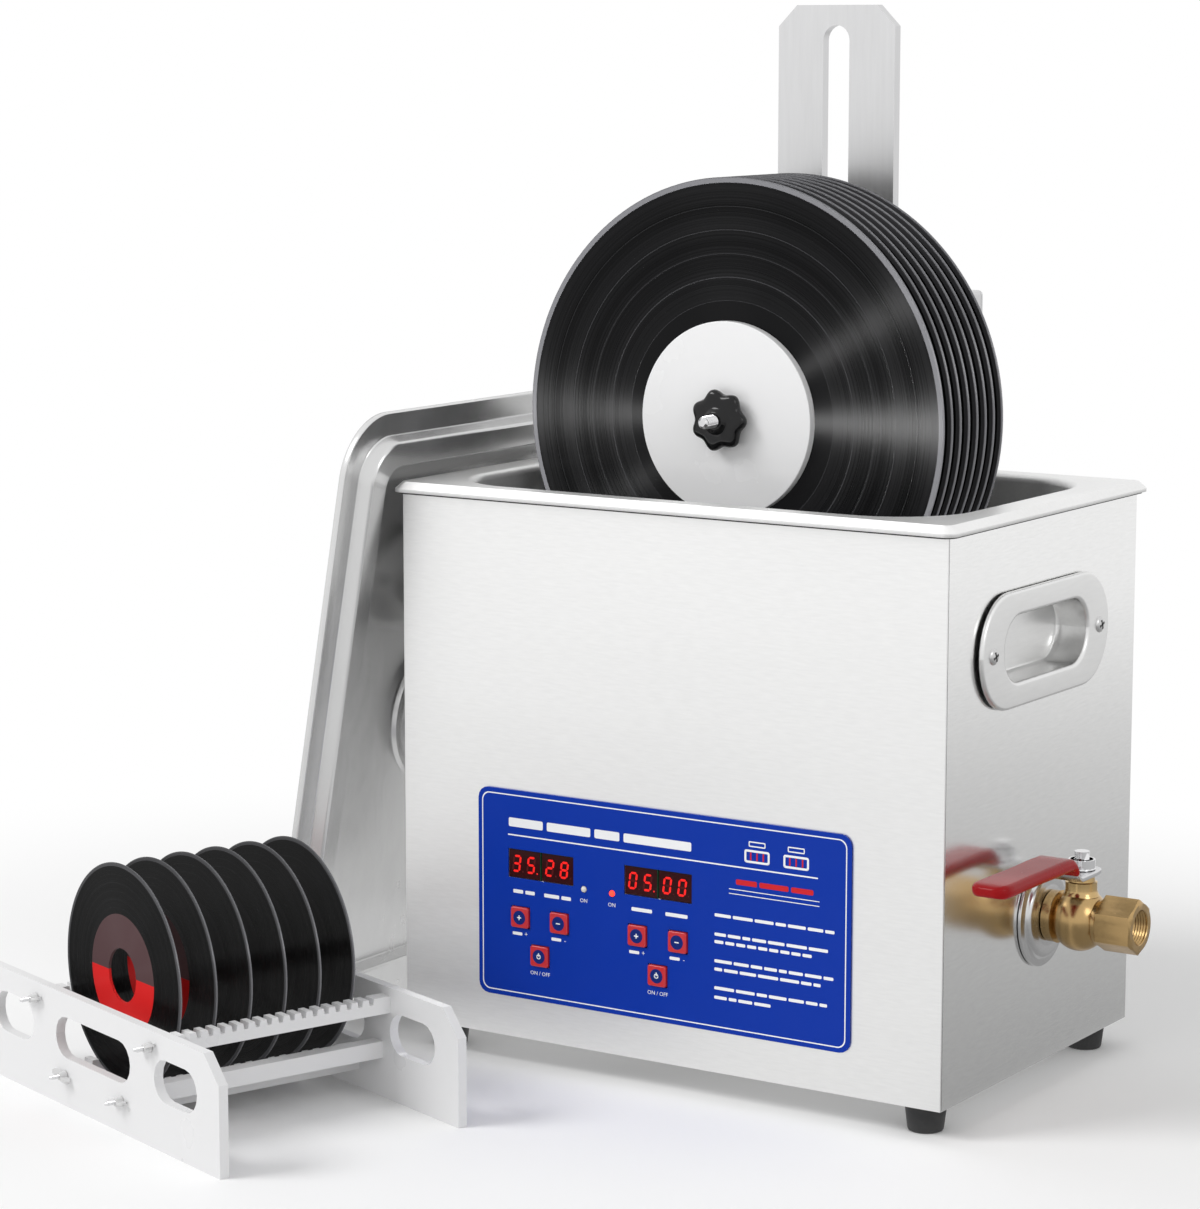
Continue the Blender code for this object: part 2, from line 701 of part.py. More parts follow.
# Under the tank: transducers, heater mat and the generator board.
def transducers():
    drop = TRANSDUCER_HEIGHT
    profile = [
        (TRANSDUCER_HEAD_RADIUS, 0),
        (TRANSDUCER_HEAD_RADIUS, -drop * HEAD_SHARE),
        (TRANSDUCER_BODY_RADIUS, -drop * HEAD_END_SHARE),
        (TRANSDUCER_BODY_RADIUS, -drop),
    ]
    first = finished("transducer_left", turned(profile, 16), ALUMINIUM, None, SMOOTH)
    place(first, TRANSDUCER_LEFT_X, 0, UNDER_TANK)
    place(copy_of(first, "transducer_right", ALUMINIUM), TRANSDUCER_RIGHT_X, 0, UNDER_TANK)


def heater_mat():
    outline = as_pairs(rounded(HEATER_LENGTH / 2, HEATER_WIDTH / 2, HEATER_THICKNESS * 2, 3))
    obj = finished("heater_mat", plate(outline, HEATER_THICKNESS), RED)
    place(obj, (TRANSDUCER_LEFT_X + TRANSDUCER_RIGHT_X) / 2, 0, UNDER_TANK - HEATER_THICKNESS)


def generator_board():
    board = bmesh.new()
    half_x, half_y = BOARD_LENGTH / 2, BOARD_WIDTH / 2
    top = BOARD_RISE + BOARD_THICKNESS
    inside = BOARD_RISE + BOARD_THICKNESS / 2
    block(board, (-half_x, -half_y, BOARD_RISE), (half_x, half_y, top))
    obj = finished("generator_board", board, GREEN)
    parts = bmesh.new()
    for sx in (-1, 1):
        for sy in (-1, 1):
            x, y = sx * half_x * POST_SHARE, sy * half_y * POST_SHARE
            rod(parts, POST_RADIUS, 8, (x, y, 0), (x, y, inside))
    rod(parts, COIL_RADIUS, 20, (half_x / 2, 0, inside), (half_x / 2, 0, top + COIL_HEIGHT))
    low = (-half_x * POST_SHARE, -SINK_WIDTH / 2, inside)
    block(parts, low, (low[0] + SINK_LENGTH, SINK_WIDTH / 2, top + SINK_HEIGHT))
    tools = finished("generator_parts", parts, None)
    place(obj, BOARD_X, 0, BASE_TOP + SEAM)
    place(tools, BOARD_X, 0, BASE_TOP + SEAM)
    combine(obj, tools, "UNION")


# Front controls: overlay, display board and six keys.
def control_panel():
    outline = as_pairs(rounded(PANEL_WIDTH / 2, PANEL_HEIGHT / 2, PANEL_CORNER, 4))
    obj = finished("control_panel", plate(outline, PANEL_THICKNESS), BLUE, ALONG_FRONT)
    place(obj, PANEL_X, PANEL_BACK_Y, PANEL_Z)
    combine(obj, window_cuts("panel_cuts", PANEL_FRONT_Y - OVERRUN, PANEL_BACK_Y + OVERRUN), "DIFFERENCE")


def display_board():
    board = bmesh.new()
    half_x, half_z = PANEL_BOARD_LENGTH / 2, PANEL_BOARD_HEIGHT / 2
    block(
        board,
        (PANEL_X - half_x, PANEL_BOARD_Y, PANEL_Z - half_z),
        (PANEL_X + half_x, PANEL_BOARD_Y + BOARD_THICKNESS, PANEL_Z + half_z),
    )
    obj = finished("display_board", board, GREEN)
    place(obj, 0, 0, 0)
    parts = bmesh.new()
    inside = PANEL_BOARD_Y + BOARD_THICKNESS / 2
    face = PANEL_FRONT_Y + DISPLAY_SINK
    half = (DISPLAY_LENGTH - DISPLAY_SPLIT) / 2
    for x in (DISPLAY_LEFT_X, DISPLAY_RIGHT_X):
        for side in (-1, 1):
            middle = x + side * (half + DISPLAY_SPLIT) / 2
            block(
                parts,
                (middle - half / 2, face, DISPLAY_Z - DISPLAY_HEIGHT / 2),
                (middle + half / 2, inside, DISPLAY_Z + DISPLAY_HEIGHT / 2),
            )
    for x in (LAMP_LEFT_X, LAMP_RIGHT_X):
        rod(parts, LAMP_RADIUS, 8, (x, PANEL_FRONT_Y, LAMP_Z), (x, inside, LAMP_Z))
    for sx in (-1, 1):
        for sz in (-1, 1):
            x, z = PANEL_X + sx * half_x * POST_SHARE, PANEL_Z + sz * half_z * POST_SHARE
            rod(parts, POST_RADIUS, 8, (x, FRONT_Y + SHEET + SEAM, z), (x, inside, z))
    tools = finished("display_parts", parts, None)
    place(tools, 0, 0, 0)
    combine(obj, tools, "UNION")


def keys():
    names = [f"key_{group}_{use}" for group in ("heat", "time") for use in ("up", "down", "power")]
    front = -(KEY_PROUD + PANEL_THICKNESS + SEAM)
    flange = SHEET + SEAM
    board = PANEL_BOARD_DEPTH - KEY_TRAVEL - SEAM
    chamfer = KEY_BEVEL
    cap, wide, stem = KEY_SIDE / 2, KEY_SIDE / 2 + KEY_FLANGE, KEY_STEM_SIDE / 2
    levels = [
        (cap - chamfer, front),
        (cap, front + chamfer),
        (cap, flange),
        (wide, flange),
        (wide, flange + KEY_FLANGE),
        (stem, flange + KEY_FLANGE),
        (stem, board),
    ]
    corners = ((1, 1), (-1, 1), (-1, -1), (1, -1))
    loops = [[Vector((half * x, half * y, level)) for x, y in corners] for half, level in levels]
    first = None
    for name, (x, z) in zip(names, KEY_PLACES):
        if first is None:
            key = first = finished(name, loft(loops), RED, ALONG_Y)
        else:
            key = copy_of(first, name, RED)
        place(key, x, FRONT_Y, z)


# Flush pull handles: a pressed plate with a cup, one on each side.
def handles():
    def loop(length, height, level):
        return stadium(length, height, 3, level)

    roll, cup = HANDLE_ROLL, CUP_ROLL
    rise = SEAM + SHEET
    loops = [
        loop(HANDLE_LENGTH, HANDLE_HEIGHT, rise),
        loop(HANDLE_LENGTH, HANDLE_HEIGHT, rise + HANDLE_PROUD - roll),
        loop(HANDLE_LENGTH - 2 * roll, HANDLE_HEIGHT - 2 * roll, rise + HANDLE_PROUD),
        loop(CUP_LENGTH + 2 * cup, CUP_HEIGHT + 2 * cup, rise + HANDLE_PROUD),
        loop(CUP_LENGTH, CUP_HEIGHT, rise + HANDLE_PROUD - cup),
        loop(CUP_LENGTH, CUP_HEIGHT, -CUP_DEPTH + cup * 2),
        loop(CUP_LENGTH - cup * 2, CUP_HEIGHT - cup * 2, -CUP_DEPTH),
    ]
    right = pressed("right_handle", loops, SHEET, STEEL, UPRIGHT_SIDE)
    place(right, SIDE_X, HANDLE_Y, HANDLE_Z)
    left = copy_of(right, "left_handle", STEEL)
    thicken(left, SHEET)
    left.rotation_euler = (0, 0, math.radians(180))
    place(left, -SIDE_X, HANDLE_Y, HANDLE_Z)


# Drain: elbow under the tank, escutcheon, valve body, ball with its stem, and the lever.
def drain_elbow():
    steps = 14
    top = UNDER_TANK
    bend = ELBOW_BEND
    path = [((ELBOW_X, top), 0)]
    for i in range(4):
        a = math.radians(90 * i / 3)
        path.append(((ELBOW_X + bend - bend * math.cos(a), VALVE_Z + bend - bend * math.sin(a)), a))
    path.append(((VALVE_X - SEAM, VALVE_Z), math.radians(90)))
    loops = []
    for radius, points in ((PIPE_RADIUS, path), (PIPE_BORE_RADIUS, list(reversed(path)))):
        for (x, z), a in points:
            middle = Vector((x, 0, z))
            side = Vector((math.cos(a), 0, math.sin(a)))
            loops.append([middle + side * p.x + Vector((0, p.y, 0)) for p in ring(radius, steps)])
    obj = finished("drain_elbow", loft(loops, closed=True), BRASS, None, SMOOTH)
    place(obj, 0, 0, 0)


def valve_flange():
    inner = PIPE_RADIUS + SEAM
    step = FLANGE_THICKNESS / 3
    profile = [
        (inner, 0),
        (FLANGE_RADIUS, 0),
        (FLANGE_RADIUS, step),
        (FLANGE_RADIUS - step, 2 * step),
        (FLANGE_STEP_RADIUS + step, 2 * step),
        (FLANGE_STEP_RADIUS, FLANGE_THICKNESS),
        (inner, FLANGE_THICKNESS),
    ]
    obj = finished("valve_flange", turned(profile, 24, closed=True), POLISHED, ALONG_X, SMOOTH)
    place(obj, SIDE_X + SEAM, 0, VALVE_Z)


def hexagon_ring(flats, steps, height):
    points = []
    for i in range(steps):
        a = 2 * math.pi * i / steps
        off = (a + math.radians(30)) % math.radians(60) - math.radians(30)
        radius = flats / 2 / math.cos(off)
        points.append(Vector((radius * math.cos(a), radius * math.sin(a), height)))
    return points


def valve_body():
    steps = 18
    hex_start = VALVE_LENGTH - VALVE_HEX_LENGTH
    collar = BALL_X - VALVE_BELLY_RADIUS * BELLY_SHARE
    outer = [
        (VALVE_COLLAR_RADIUS, 0),
        (VALVE_COLLAR_RADIUS, collar),
        (VALVE_BELLY_RADIUS * BELLY_EDGE_SHARE, collar + (BALL_X - collar) * BELLY_SHARE),
        (VALVE_BELLY_RADIUS, BALL_X),
        (VALVE_BELLY_RADIUS * BELLY_EDGE_SHARE, BALL_X + (BALL_X - collar) * BELLY_SHARE),
        (VALVE_NECK_RADIUS, hex_start - VALVE_NECK_RADIUS * NECK_SHARE),
        (VALVE_NECK_RADIUS, hex_start),
    ]
    loops = [ring(r, steps, h) for r, h in outer]
    edge = VALVE_HEX_FLATS * HEX_EDGE_SHARE
    loops.append(hexagon_ring(VALVE_HEX_FLATS - edge, steps, hex_start))
    loops.append(hexagon_ring(VALVE_HEX_FLATS, steps, hex_start + edge))
    loops.append(hexagon_ring(VALVE_HEX_FLATS, steps, VALVE_LENGTH - edge))
    loops.append(ring(VALVE_HEX_FLATS / 2 - edge / 2, steps, VALVE_LENGTH))
    cavity = BALL_RADIUS + BALL_ROOM
    mouth = math.sqrt(cavity**2 - PIPE_BORE_RADIUS**2)
    loops.append(ring(OUTLET_RADIUS, steps, VALVE_LENGTH))
    loops.append(ring(OUTLET_RADIUS, steps, VALVE_LENGTH - OUTLET_DEPTH))
    loops.append(ring(PIPE_BORE_RADIUS, steps, VALVE_LENGTH - OUTLET_DEPTH - edge))
    for share in CAVITY_SHARES:
        x = mouth * share
        loops.append(ring(math.sqrt(cavity**2 - x**2), steps, BALL_X + x))
    loops.append(ring(PIPE_BORE_RADIUS, steps, 0))
    obj = finished("valve_body", loft(loops, closed=True), BRASS, ALONG_X, SMOOTH)
    place(obj, VALVE_X, 0, VALVE_Z)

    boss = bmesh.new()
    foot = (cavity + VALVE_BELLY_RADIUS) / 2
    rod(boss, BOSS_RADIUS, 20, (BALL_X, 0, foot), (BALL_X, 0, BOSS_HEIGHT))
    boss_tool = finished("valve_boss", boss, None)
    place(boss_tool, VALVE_X, 0, VALVE_Z)
    combine(obj, boss_tool, "UNION")
    hole = bmesh.new()
    rod(hole, STEM_RADIUS + SEAM, 16, (BALL_X, 0, 0), (BALL_X, 0, BOSS_HEIGHT + OVERRUN))
    hole_tool = finished("stem_cut", hole, None)
    place(hole_tool, VALVE_X, 0, VALVE_Z)
    combine(obj, hole_tool, "DIFFERENCE")


def valve_ball_stem():
    steps = 14
    profile = []
    for degrees in (-78, -45, -15, 15, 45):
        a = math.radians(degrees)
        profile.append((BALL_RADIUS * math.cos(a), BALL_RADIUS * math.sin(a)))
    strap_low = BOSS_HEIGHT + SEAM
    strap_high = strap_low + STRAP_THICKNESS
    profile += [
        (STEM_RADIUS, BALL_RADIUS * BALL_TOP_SHARE),
        (STEM_RADIUS, strap_high + SEAM),
        (NUT_RADIUS, strap_high + SEAM),
        (NUT_RADIUS, strap_high + SEAM + NUT_HEIGHT),
        (STEM_RADIUS, strap_high + SEAM + NUT_HEIGHT),
        (STEM_RADIUS, strap_high + SEAM + NUT_HEIGHT + STEM_END),
    ]
    obj = finished("valve_ball_stem", turned(profile, steps), CHROME, None, SMOOTH)
    place(obj, VALVE_X + BALL_X, 0, VALVE_Z)
    bore = bmesh.new()
    reach = BALL_RADIUS + OVERRUN
    rod(bore, PIPE_BORE_RADIUS * BALL_BORE_SHARE, 16, (0, -reach, 0), (0, reach, 0))
    tool = finished("ball_cut", bore, None)
    place(tool, VALVE_X + BALL_X, 0, VALVE_Z)
    combine(obj, tool, "DIFFERENCE")


def valve_lever():
    """A strap over the stem that steps up into a dipped grip."""
    thin = STRAP_THICKNESS
    stations = [(share, STRAP_WIDTH * w, thin * t, rise) for share, w, t, rise in LEVER_STRAP_SHARES]
    stations += [(share, GRIP_WIDTH * w, GRIP_THICKNESS * t, rise) for share, w, t, rise in LEVER_GRIP_SHARES]
    loops = []
    for share, width, thickness, rise in stations:
        section = rounded(width / 2, thickness / 2, thickness * LEVER_ROUND_SHARE, 1)
        level = LEVER_RISE * rise + thin / 2
        loops.append([Vector((p.x, -LEVER_LENGTH * share, p.y + level)) for p in section])
    obj = finished("valve_lever", loft(loops), RED, None, SMOOTH)
    level = VALVE_Z + BOSS_HEIGHT + SEAM
    place(obj, VALVE_X + BALL_X, 0, level)
    hole = bmesh.new()
    rod(hole, STEM_RADIUS + SEAM, 16, (0, 0, -OVERRUN), (0, 0, thin + OVERRUN))
    tool = finished("lever_cut", hole, None)
    place(tool, VALVE_X + BALL_X, 0, level)
    combine(obj, tool, "DIFFERENCE")


# Back: power inlet, rocker switch in its frame, and the fan.
def power_inlet():
    def loop(width, height, level):
        return rounded(width / 2, height / 2, INLET_RIM, 1, level)

    depth, flange, rim = INLET_DEPTH, INLET_FLANGE, INLET_RIM
    loops = [
        loop(INLET_BODY_WIDTH - 2 * rim, INLET_BODY_HEIGHT - 2 * rim, -depth + 2 * rim),
        loop(INLET_BODY_WIDTH - 2 * rim, INLET_BODY_HEIGHT - 2 * rim, flange),
        loop(INLET_WIDTH - rim / 2, INLET_HEIGHT - rim / 2, flange),
        loop(INLET_WIDTH, INLET_HEIGHT, flange - rim / 2),
        loop(INLET_WIDTH, INLET_HEIGHT, 0),
        loop(INLET_BODY_WIDTH, INLET_BODY_HEIGHT, 0),
        loop(INLET_BODY_WIDTH, INLET_BODY_HEIGHT, -depth),
    ]
    obj = finished("power_inlet", loft(loops), BLACK, ALONG_Y)
    place(obj, INLET_X, BACK_Y + SEAM, BACK_ROW_Z)
    pins = bmesh.new()
    floor = -depth + 2 * rim
    for x, z in ((-PIN_PITCH, -PIN_HEIGHT / 2), (0, PIN_HEIGHT / 2), (PIN_PITCH, -PIN_HEIGHT / 2)):
        block(
            pins,
            (x - PIN_WIDTH / 2, floor - rim / 2, z - PIN_HEIGHT / 2),
            (x + PIN_WIDTH / 2, -rim, z + PIN_HEIGHT / 2),
        )
    tools = finished("inlet_pins", pins, None)
    place(tools, INLET_X, BACK_Y + SEAM, BACK_ROW_Z)
    combine(obj, tools, "UNION")


def switch():
    def loop(width, height, level):
        return rounded(width / 2, height / 2, SWITCH_RIM / 3, 1, level)

    rim, depth = SWITCH_RIM, SWITCH_DEPTH
    body_width, body_height = SWITCH_WIDTH - 2 * rim, SWITCH_HEIGHT - rim
    well_width, well_height = body_width - rim, body_height - rim
    loops = [
        loop(well_width, well_height, -depth + rim),
        loop(well_width, well_height, rim / 2),
        loop(SWITCH_WIDTH, SWITCH_HEIGHT, rim / 2),
        loop(SWITCH_WIDTH, SWITCH_HEIGHT, 0),
        loop(body_width, body_height, 0),
        loop(body_width, body_height, -depth),
    ]
    frame = finished("switch_frame", loft(loops), BLACK, ALONG_Y)
    place(frame, SWITCH_X, BACK_Y + SEAM, BACK_ROW_Z)

    # The rocker turns about X at the mouth of the frame, and its face is a shallow V.
    half = well_height / 2 - rim * ROCKER_ROOM_SHARE
    lift = rim * ROCKER_LIFT_SHARE
    outline = [(-half, lift), (-half, 0), (0, -ROCKER_RADIUS), (half, 0), (half, lift), (0, lift / 2)]
    width = well_width - rim * ROCKER_ROOM_SHARE
    bar = plate(outline, width)
    bmesh.ops.translate(bar, vec=(0, 0, -width / 2), verts=bar.verts)
    rocker = finished("power_switch", bar, RED, ALONG_X)
    rocker.rotation_euler = (ROCKER_TILT, 0, 0)
    place(rocker, SWITCH_X, BACK_Y + SEAM + rim / 2, BACK_ROW_Z)


def fan():
    side = FAN_SIDE / 2
    frame_y = BACK_Y - SHEET - SEAM
    housing = finished(
        "fan_frame", plate(as_pairs(rounded(side, side, FAN_STRUT_WIDTH, 1)), FAN_DEPTH), BLACK, ALONG_FRONT
    )
    place(housing, FAN_X, frame_y, BACK_ROW_Z)
    bore = bmesh.new()
    rod(bore, FAN_BORE_RADIUS, 24, (0, -FAN_DEPTH - OVERRUN, 0), (0, OVERRUN, 0))
    hole = finished("fan_bore", bore, None)
    place(hole, FAN_X, frame_y, BACK_ROW_Z)
    combine(housing, hole, "DIFFERENCE")
    carrier = bmesh.new()
    strut = FAN_STRUT_WIDTH
    rod(carrier, FAN_HUB_RADIUS, 20, (0, -FAN_DEPTH, 0), (0, -FAN_DEPTH + strut, 0))
    reach = FAN_BORE_RADIUS + strut / 2
    block(carrier, (-reach, -FAN_DEPTH, -strut / 2), (reach, -FAN_DEPTH + strut / 2, strut / 2))
    tool = finished("fan_carrier", carrier, None)
    place(tool, FAN_X, frame_y, BACK_ROW_Z)
    combine(housing, tool, "UNION")

    depth = FAN_DEPTH - FAN_STRUT_WIDTH - 2 * SEAM
    hub = finished(
        "fan_rotor", turned([(FAN_HUB_RADIUS, 0), (FAN_HUB_RADIUS, depth)], 20), BLACK, ALONG_FRONT, SMOOTH
    )
    place(hub, FAN_X, frame_y - SEAM, BACK_ROW_Z)
    blades = bmesh.new()
    inner = FAN_HUB_RADIUS - FAN_BLADE_THICKNESS
    outer = FAN_BORE_RADIUS - 2 * FAN_BLADE_THICKNESS
    half = depth * BLADE_SHARE / 2
    for i in range(FAN_BLADE_COUNT):
        one = bmesh.new()
        block(one, (inner, -half, -FAN_BLADE_THICKNESS / 2), (outer, half, FAN_BLADE_THICKNESS / 2))
        around = Matrix.Rotation(2 * math.pi * i / FAN_BLADE_COUNT, 4, "Y")
        lean = Matrix.Rotation(FAN_BLADE_PITCH, 4, "X")
        bmesh.ops.transform(one, matrix=around @ lean, verts=one.verts)
        holder = bpy.data.meshes.new("blade")
        one.to_mesh(holder)
        one.free()
        blades.from_mesh(holder)
        bpy.data.meshes.remove(holder)
    tool = finished("fan_blades", blades, None)
    place(tool, FAN_X, frame_y - SEAM - depth / 2, BACK_ROW_Z)
    combine(hub, tool, "UNION")


# Upright: bracket over the rear rim, and the slotted plate.
def mast_bracket():
    sheet = BRACKET_SHEET
    front = BRACKET_FRONT_Y
    back = RIM_HALF_DEPTH + BRACKET_CLEAR
    low, high = RIM_TOP + SEAM, RIM_TOP + SEAM + sheet
    outline = [
        (front, RIM_TOP - BRACKET_DROP),
        (front + sheet, RIM_TOP - BRACKET_DROP),
        (front + sheet, low),
        (back, low),
        (back, RIM_TOP - BRACKET_BACK_DROP),
        (back + sheet, RIM_TOP - BRACKET_BACK_DROP),
        (back + sheet, high),
        (front, high),
    ]
    obj = finished("mast_bracket", plate(outline, BRACKET_WIDTH), ALUMINIUM, UPRIGHT_SIDE)
    place(obj, SPINDLE_X - BRACKET_WIDTH / 2, 0, 0)
    screws = bmesh.new()
    level = RIM_TOP - BRACKET_BACK_DROP * THUMB_SHARE
    for side in (-1, 1):
        x = side * THUMB_SPREAD
        outside = back + sheet - sheet / 4
        rod(screws, THUMB_ROD_RADIUS, 12, (x, BACK_Y + SEAM, level), (x, outside, level))
        rod(screws, THUMB_RADIUS, 16, (x, outside, level), (x, outside + THUMB_LENGTH, level))
    tool = finished("bracket_screws", screws, None)
    place(tool, SPINDLE_X, 0, 0)
    combine(obj, tool, "UNION")


def mast():
    half, cut = MAST_WIDTH / 2, MAST_CHAMFER
    top = MAST_TOP - MAST_BOTTOM
    outline = [(-half, 0), (half, 0), (half, top - cut), (half - cut, top)]
    outline += [(cut - half, top), (-half, top - cut)]
    obj = finished("mast", plate(outline, MAST_THICKNESS), ALUMINIUM, ALONG_FRONT)
    place(obj, SPINDLE_X, MAST_BACK_Y, MAST_BOTTOM)
    slot_top = MAST_TOP - SLOT_TOP_MARGIN
    length = slot_top - SLOT_BOTTOM
    shape = as_pairs(rounded(SLOT_WIDTH / 2, length / 2, SLOT_WIDTH / 2 * STADIUM_SHARE, 6))
    tool = finished("mast_slot", plate(shape, MAST_THICKNESS + 2 * OVERRUN), None, ALONG_FRONT)
    place(tool, SPINDLE_X, MAST_BACK_Y + OVERRUN, (slot_top + SLOT_BOTTOM) / 2)
    combine(obj, tool, "DIFFERENCE")


# Sliding box: housing with its guide in the slot, rear cover, flat gear motor and clamp knob.
def motor_box():
    middle = (BOX_TOP + BOX_BOTTOM) / 2
    half_x, half_z = BOX_WIDTH / 2, (BOX_TOP - BOX_BOTTOM) / 2
    wall = BOX_WALL
    depth = BOX_DEPTH - wall - SEAM
    corner = wall + BOX_CORNER_SHARE * wall
    loops = [
        rounded(half_x, half_z, corner, 3, 0),
        rounded(half_x, half_z, corner, 3, depth),
        rounded(half_x - wall, half_z - wall, corner - wall, 3, depth),
        rounded(half_x - wall, half_z - wall, corner - wall, 3, wall),
    ]
    obj = finished("motor_box", loft(loops), STEEL, ALONG_Y)
    place(obj, SPINDLE_X, BOX_FRONT_Y, middle)
    guide = bmesh.new()
    half_guide = SLOT_WIDTH / 2 - GUIDE_SLACK
    low = GUIDE_REST - middle
    block(
        guide,
        (-half_guide, MAST_FRONT_Y + SEAM - BOX_FRONT_Y, low),
        (half_guide, wall / 2, low + GUIDE_HEIGHT),
    )
    guide_tool = finished("box_guide", guide, None)
    place(guide_tool, SPINDLE_X, BOX_FRONT_Y, middle)
    combine(obj, guide_tool, "UNION")
    holes = bmesh.new()
    for level, radius in (
        (SPINDLE_Z - middle, SPINDLE_RADIUS + SEAM),
        (SPINDLE_Z + CLAMP_RISE - middle, CLAMP_ROD_RADIUS + SEAM),
    ):
        front = MAST_FRONT_Y - BOX_FRONT_Y - OVERRUN
        rod(holes, radius, 16, (0, front, level), (0, wall + OVERRUN, level))
    hole_tool = finished("box_holes", holes, None)
    place(hole_tool, SPINDLE_X, BOX_FRONT_Y, middle)
    combine(obj, hole_tool, "DIFFERENCE")


def motor_box_cover():
    middle = (BOX_TOP + BOX_BOTTOM) / 2
    half_x, half_z = BOX_WIDTH / 2, (BOX_TOP - BOX_BOTTOM) / 2
    outline = as_pairs(rounded(half_x, half_z, BOX_WALL * (1 + BOX_CORNER_SHARE), 3))
    obj = finished("motor_box_cover", plate(outline, BOX_WALL), STEEL, ALONG_FRONT)
    place(obj, SPINDLE_X, BOX_BACK_Y, middle)


def gear_motor():
    """Flat gear motor on the box's front wall, with two ears and a socket for the spindle."""
    socket = SPINDLE_RADIUS + SEAM
    depth = MOTOR_DEPTH
    profile = [
        (socket, 0),
        (MOTOR_RADIUS - MOTOR_EDGE, 0),
        (MOTOR_RADIUS, MOTOR_EDGE),
        (MOTOR_RADIUS, depth),
        (socket, depth),
    ]
    obj = finished("gear_motor", turned(profile, 20, closed=True), STEEL, ALONG_Y, SMOOTH)
    place(obj, SPINDLE_X, BOX_FRONT_Y + BOX_WALL + SEAM, SPINDLE_Z)
    ears = bmesh.new()
    for side in (-1, 1):
        near, far = side * MOTOR_RADIUS * EAR_SHARE, side * MOTOR_EAR
        block(
            ears,
            (min(near, far), depth / 3, -MOTOR_EDGE * 2),
            (max(near, far), depth / 3 + MOTOR_EDGE, MOTOR_EDGE * 2),
        )
    tool = finished("motor_ears", ears, None)
    place(tool, SPINDLE_X, BOX_FRONT_Y + BOX_WALL + SEAM, SPINDLE_Z)
    combine(obj, tool, "UNION")


def star_loops(levels, lobes, steps):
    """Rings whose radius dips between the lobes, for a star knob."""
    loops = []
    count = lobes * steps
    for radius, level, dip in levels:
        loop = []
        for i in range(count):
            a = 2 * math.pi * i / count
            wave = (1 - math.cos(lobes * a)) / 2
            r = radius * (1 - dip * wave)
            loop.append(Vector((r * math.cos(a), r * math.sin(a), level)))
        loops.append(loop)
    return loops


def clamp_knob():
    """Knob and its screw in one, through the slot and into the box's front wall."""
    depth, radius, screw = CLAMP_KNOB_DEPTH, CLAMP_KNOB_RADIUS, CLAMP_ROD_RADIUS
    edge = depth * KNOB_EDGE_SHARE
    reach = BOX_FRONT_Y + BOX_WALL - MAST_FRONT_Y
    levels = [
        (screw, -reach, 0),
        (screw, SEAM, 0),
        (KNOB_HUB_RADIUS, SEAM, 0),
        (KNOB_HUB_RADIUS, KNOB_HUB_LENGTH, 0),
        (radius, KNOB_HUB_LENGTH, KNOB_DIP_SHARE),
        (radius, depth - edge, KNOB_DIP_SHARE),
        (radius - edge, depth, KNOB_DIP_SHARE),
    ]
    obj = finished("lift_clamp_knob", loft(star_loops(levels, 4, 4)), BLACK, ALONG_FRONT, SMOOTH)
    place(obj, SPINDLE_X, MAST_FRONT_Y, SPINDLE_Z + CLAMP_RISE)


# Spindle with its spacers, the label discs, the star knob and the eight records.
def spindle():
    """Runs towards -Y from the motor. The spacers between the records are part of the turning."""
    rear_disc = LAST_RECORD_Y + RECORD_THICKNESS / 2 + SEAM
    collar = rear_disc + LABEL_DISC_THICKNESS + SEAM
    end = BOX_FRONT_Y + BOX_WALL + SEAM + MOTOR_DEPTH * SOCKET_SHARE
    front_disc = FIRST_RECORD_Y - RECORD_THICKNESS / 2 - SEAM - LABEL_DISC_THICKNESS
    tip = front_disc - SEAM - KNOB_DEPTH - SPINDLE_TIP
    thin = SPINDLE_RADIUS
    profile = [
        (thin, -end),
        (thin, -collar - COLLAR_LENGTH),
        (COLLAR_RADIUS, -collar - COLLAR_LENGTH),
        (COLLAR_RADIUS, -collar),
        (thin, -collar),
    ]
    for i in reversed(range(RECORD_COUNT - 1)):
        low = FIRST_RECORD_Y + i * RECORD_PITCH + RECORD_THICKNESS / 2 + SEAM
        high = FIRST_RECORD_Y + (i + 1) * RECORD_PITCH - RECORD_THICKNESS / 2 - SEAM
        profile += [(thin, -high), (SPACER_RADIUS, -high), (SPACER_RADIUS, -low), (thin, -low)]
    profile += [(thin, -tip - thin / 2), (thin / 2, -tip)]
    obj = finished("spindle", turned(profile, 12), STEEL, ALONG_FRONT, SMOOTH)
    place(obj, SPINDLE_X, 0, SPINDLE_Z)


def label_discs():
    bore, radius = SPINDLE_RADIUS + SEAM, LABEL_DISC_RADIUS
    thick, edge = LABEL_DISC_THICKNESS, LABEL_DISC_EDGE
    profile = [
        (bore, 0),
        (radius - edge, 0),
        (radius, edge),
        (radius, thick - edge),
        (radius - edge, thick),
        (bore, thick),
    ]
    front = finished("front_label_disc", turned(profile, 24, closed=True), WHITE, ALONG_FRONT, SMOOTH)
    place(front, SPINDLE_X, FIRST_RECORD_Y - RECORD_THICKNESS / 2 - SEAM, SPINDLE_Z)
    rear = copy_of(front, "rear_label_disc", WHITE)
    place(rear, SPINDLE_X, LAST_RECORD_Y + RECORD_THICKNESS / 2 + SEAM + thick, SPINDLE_Z)


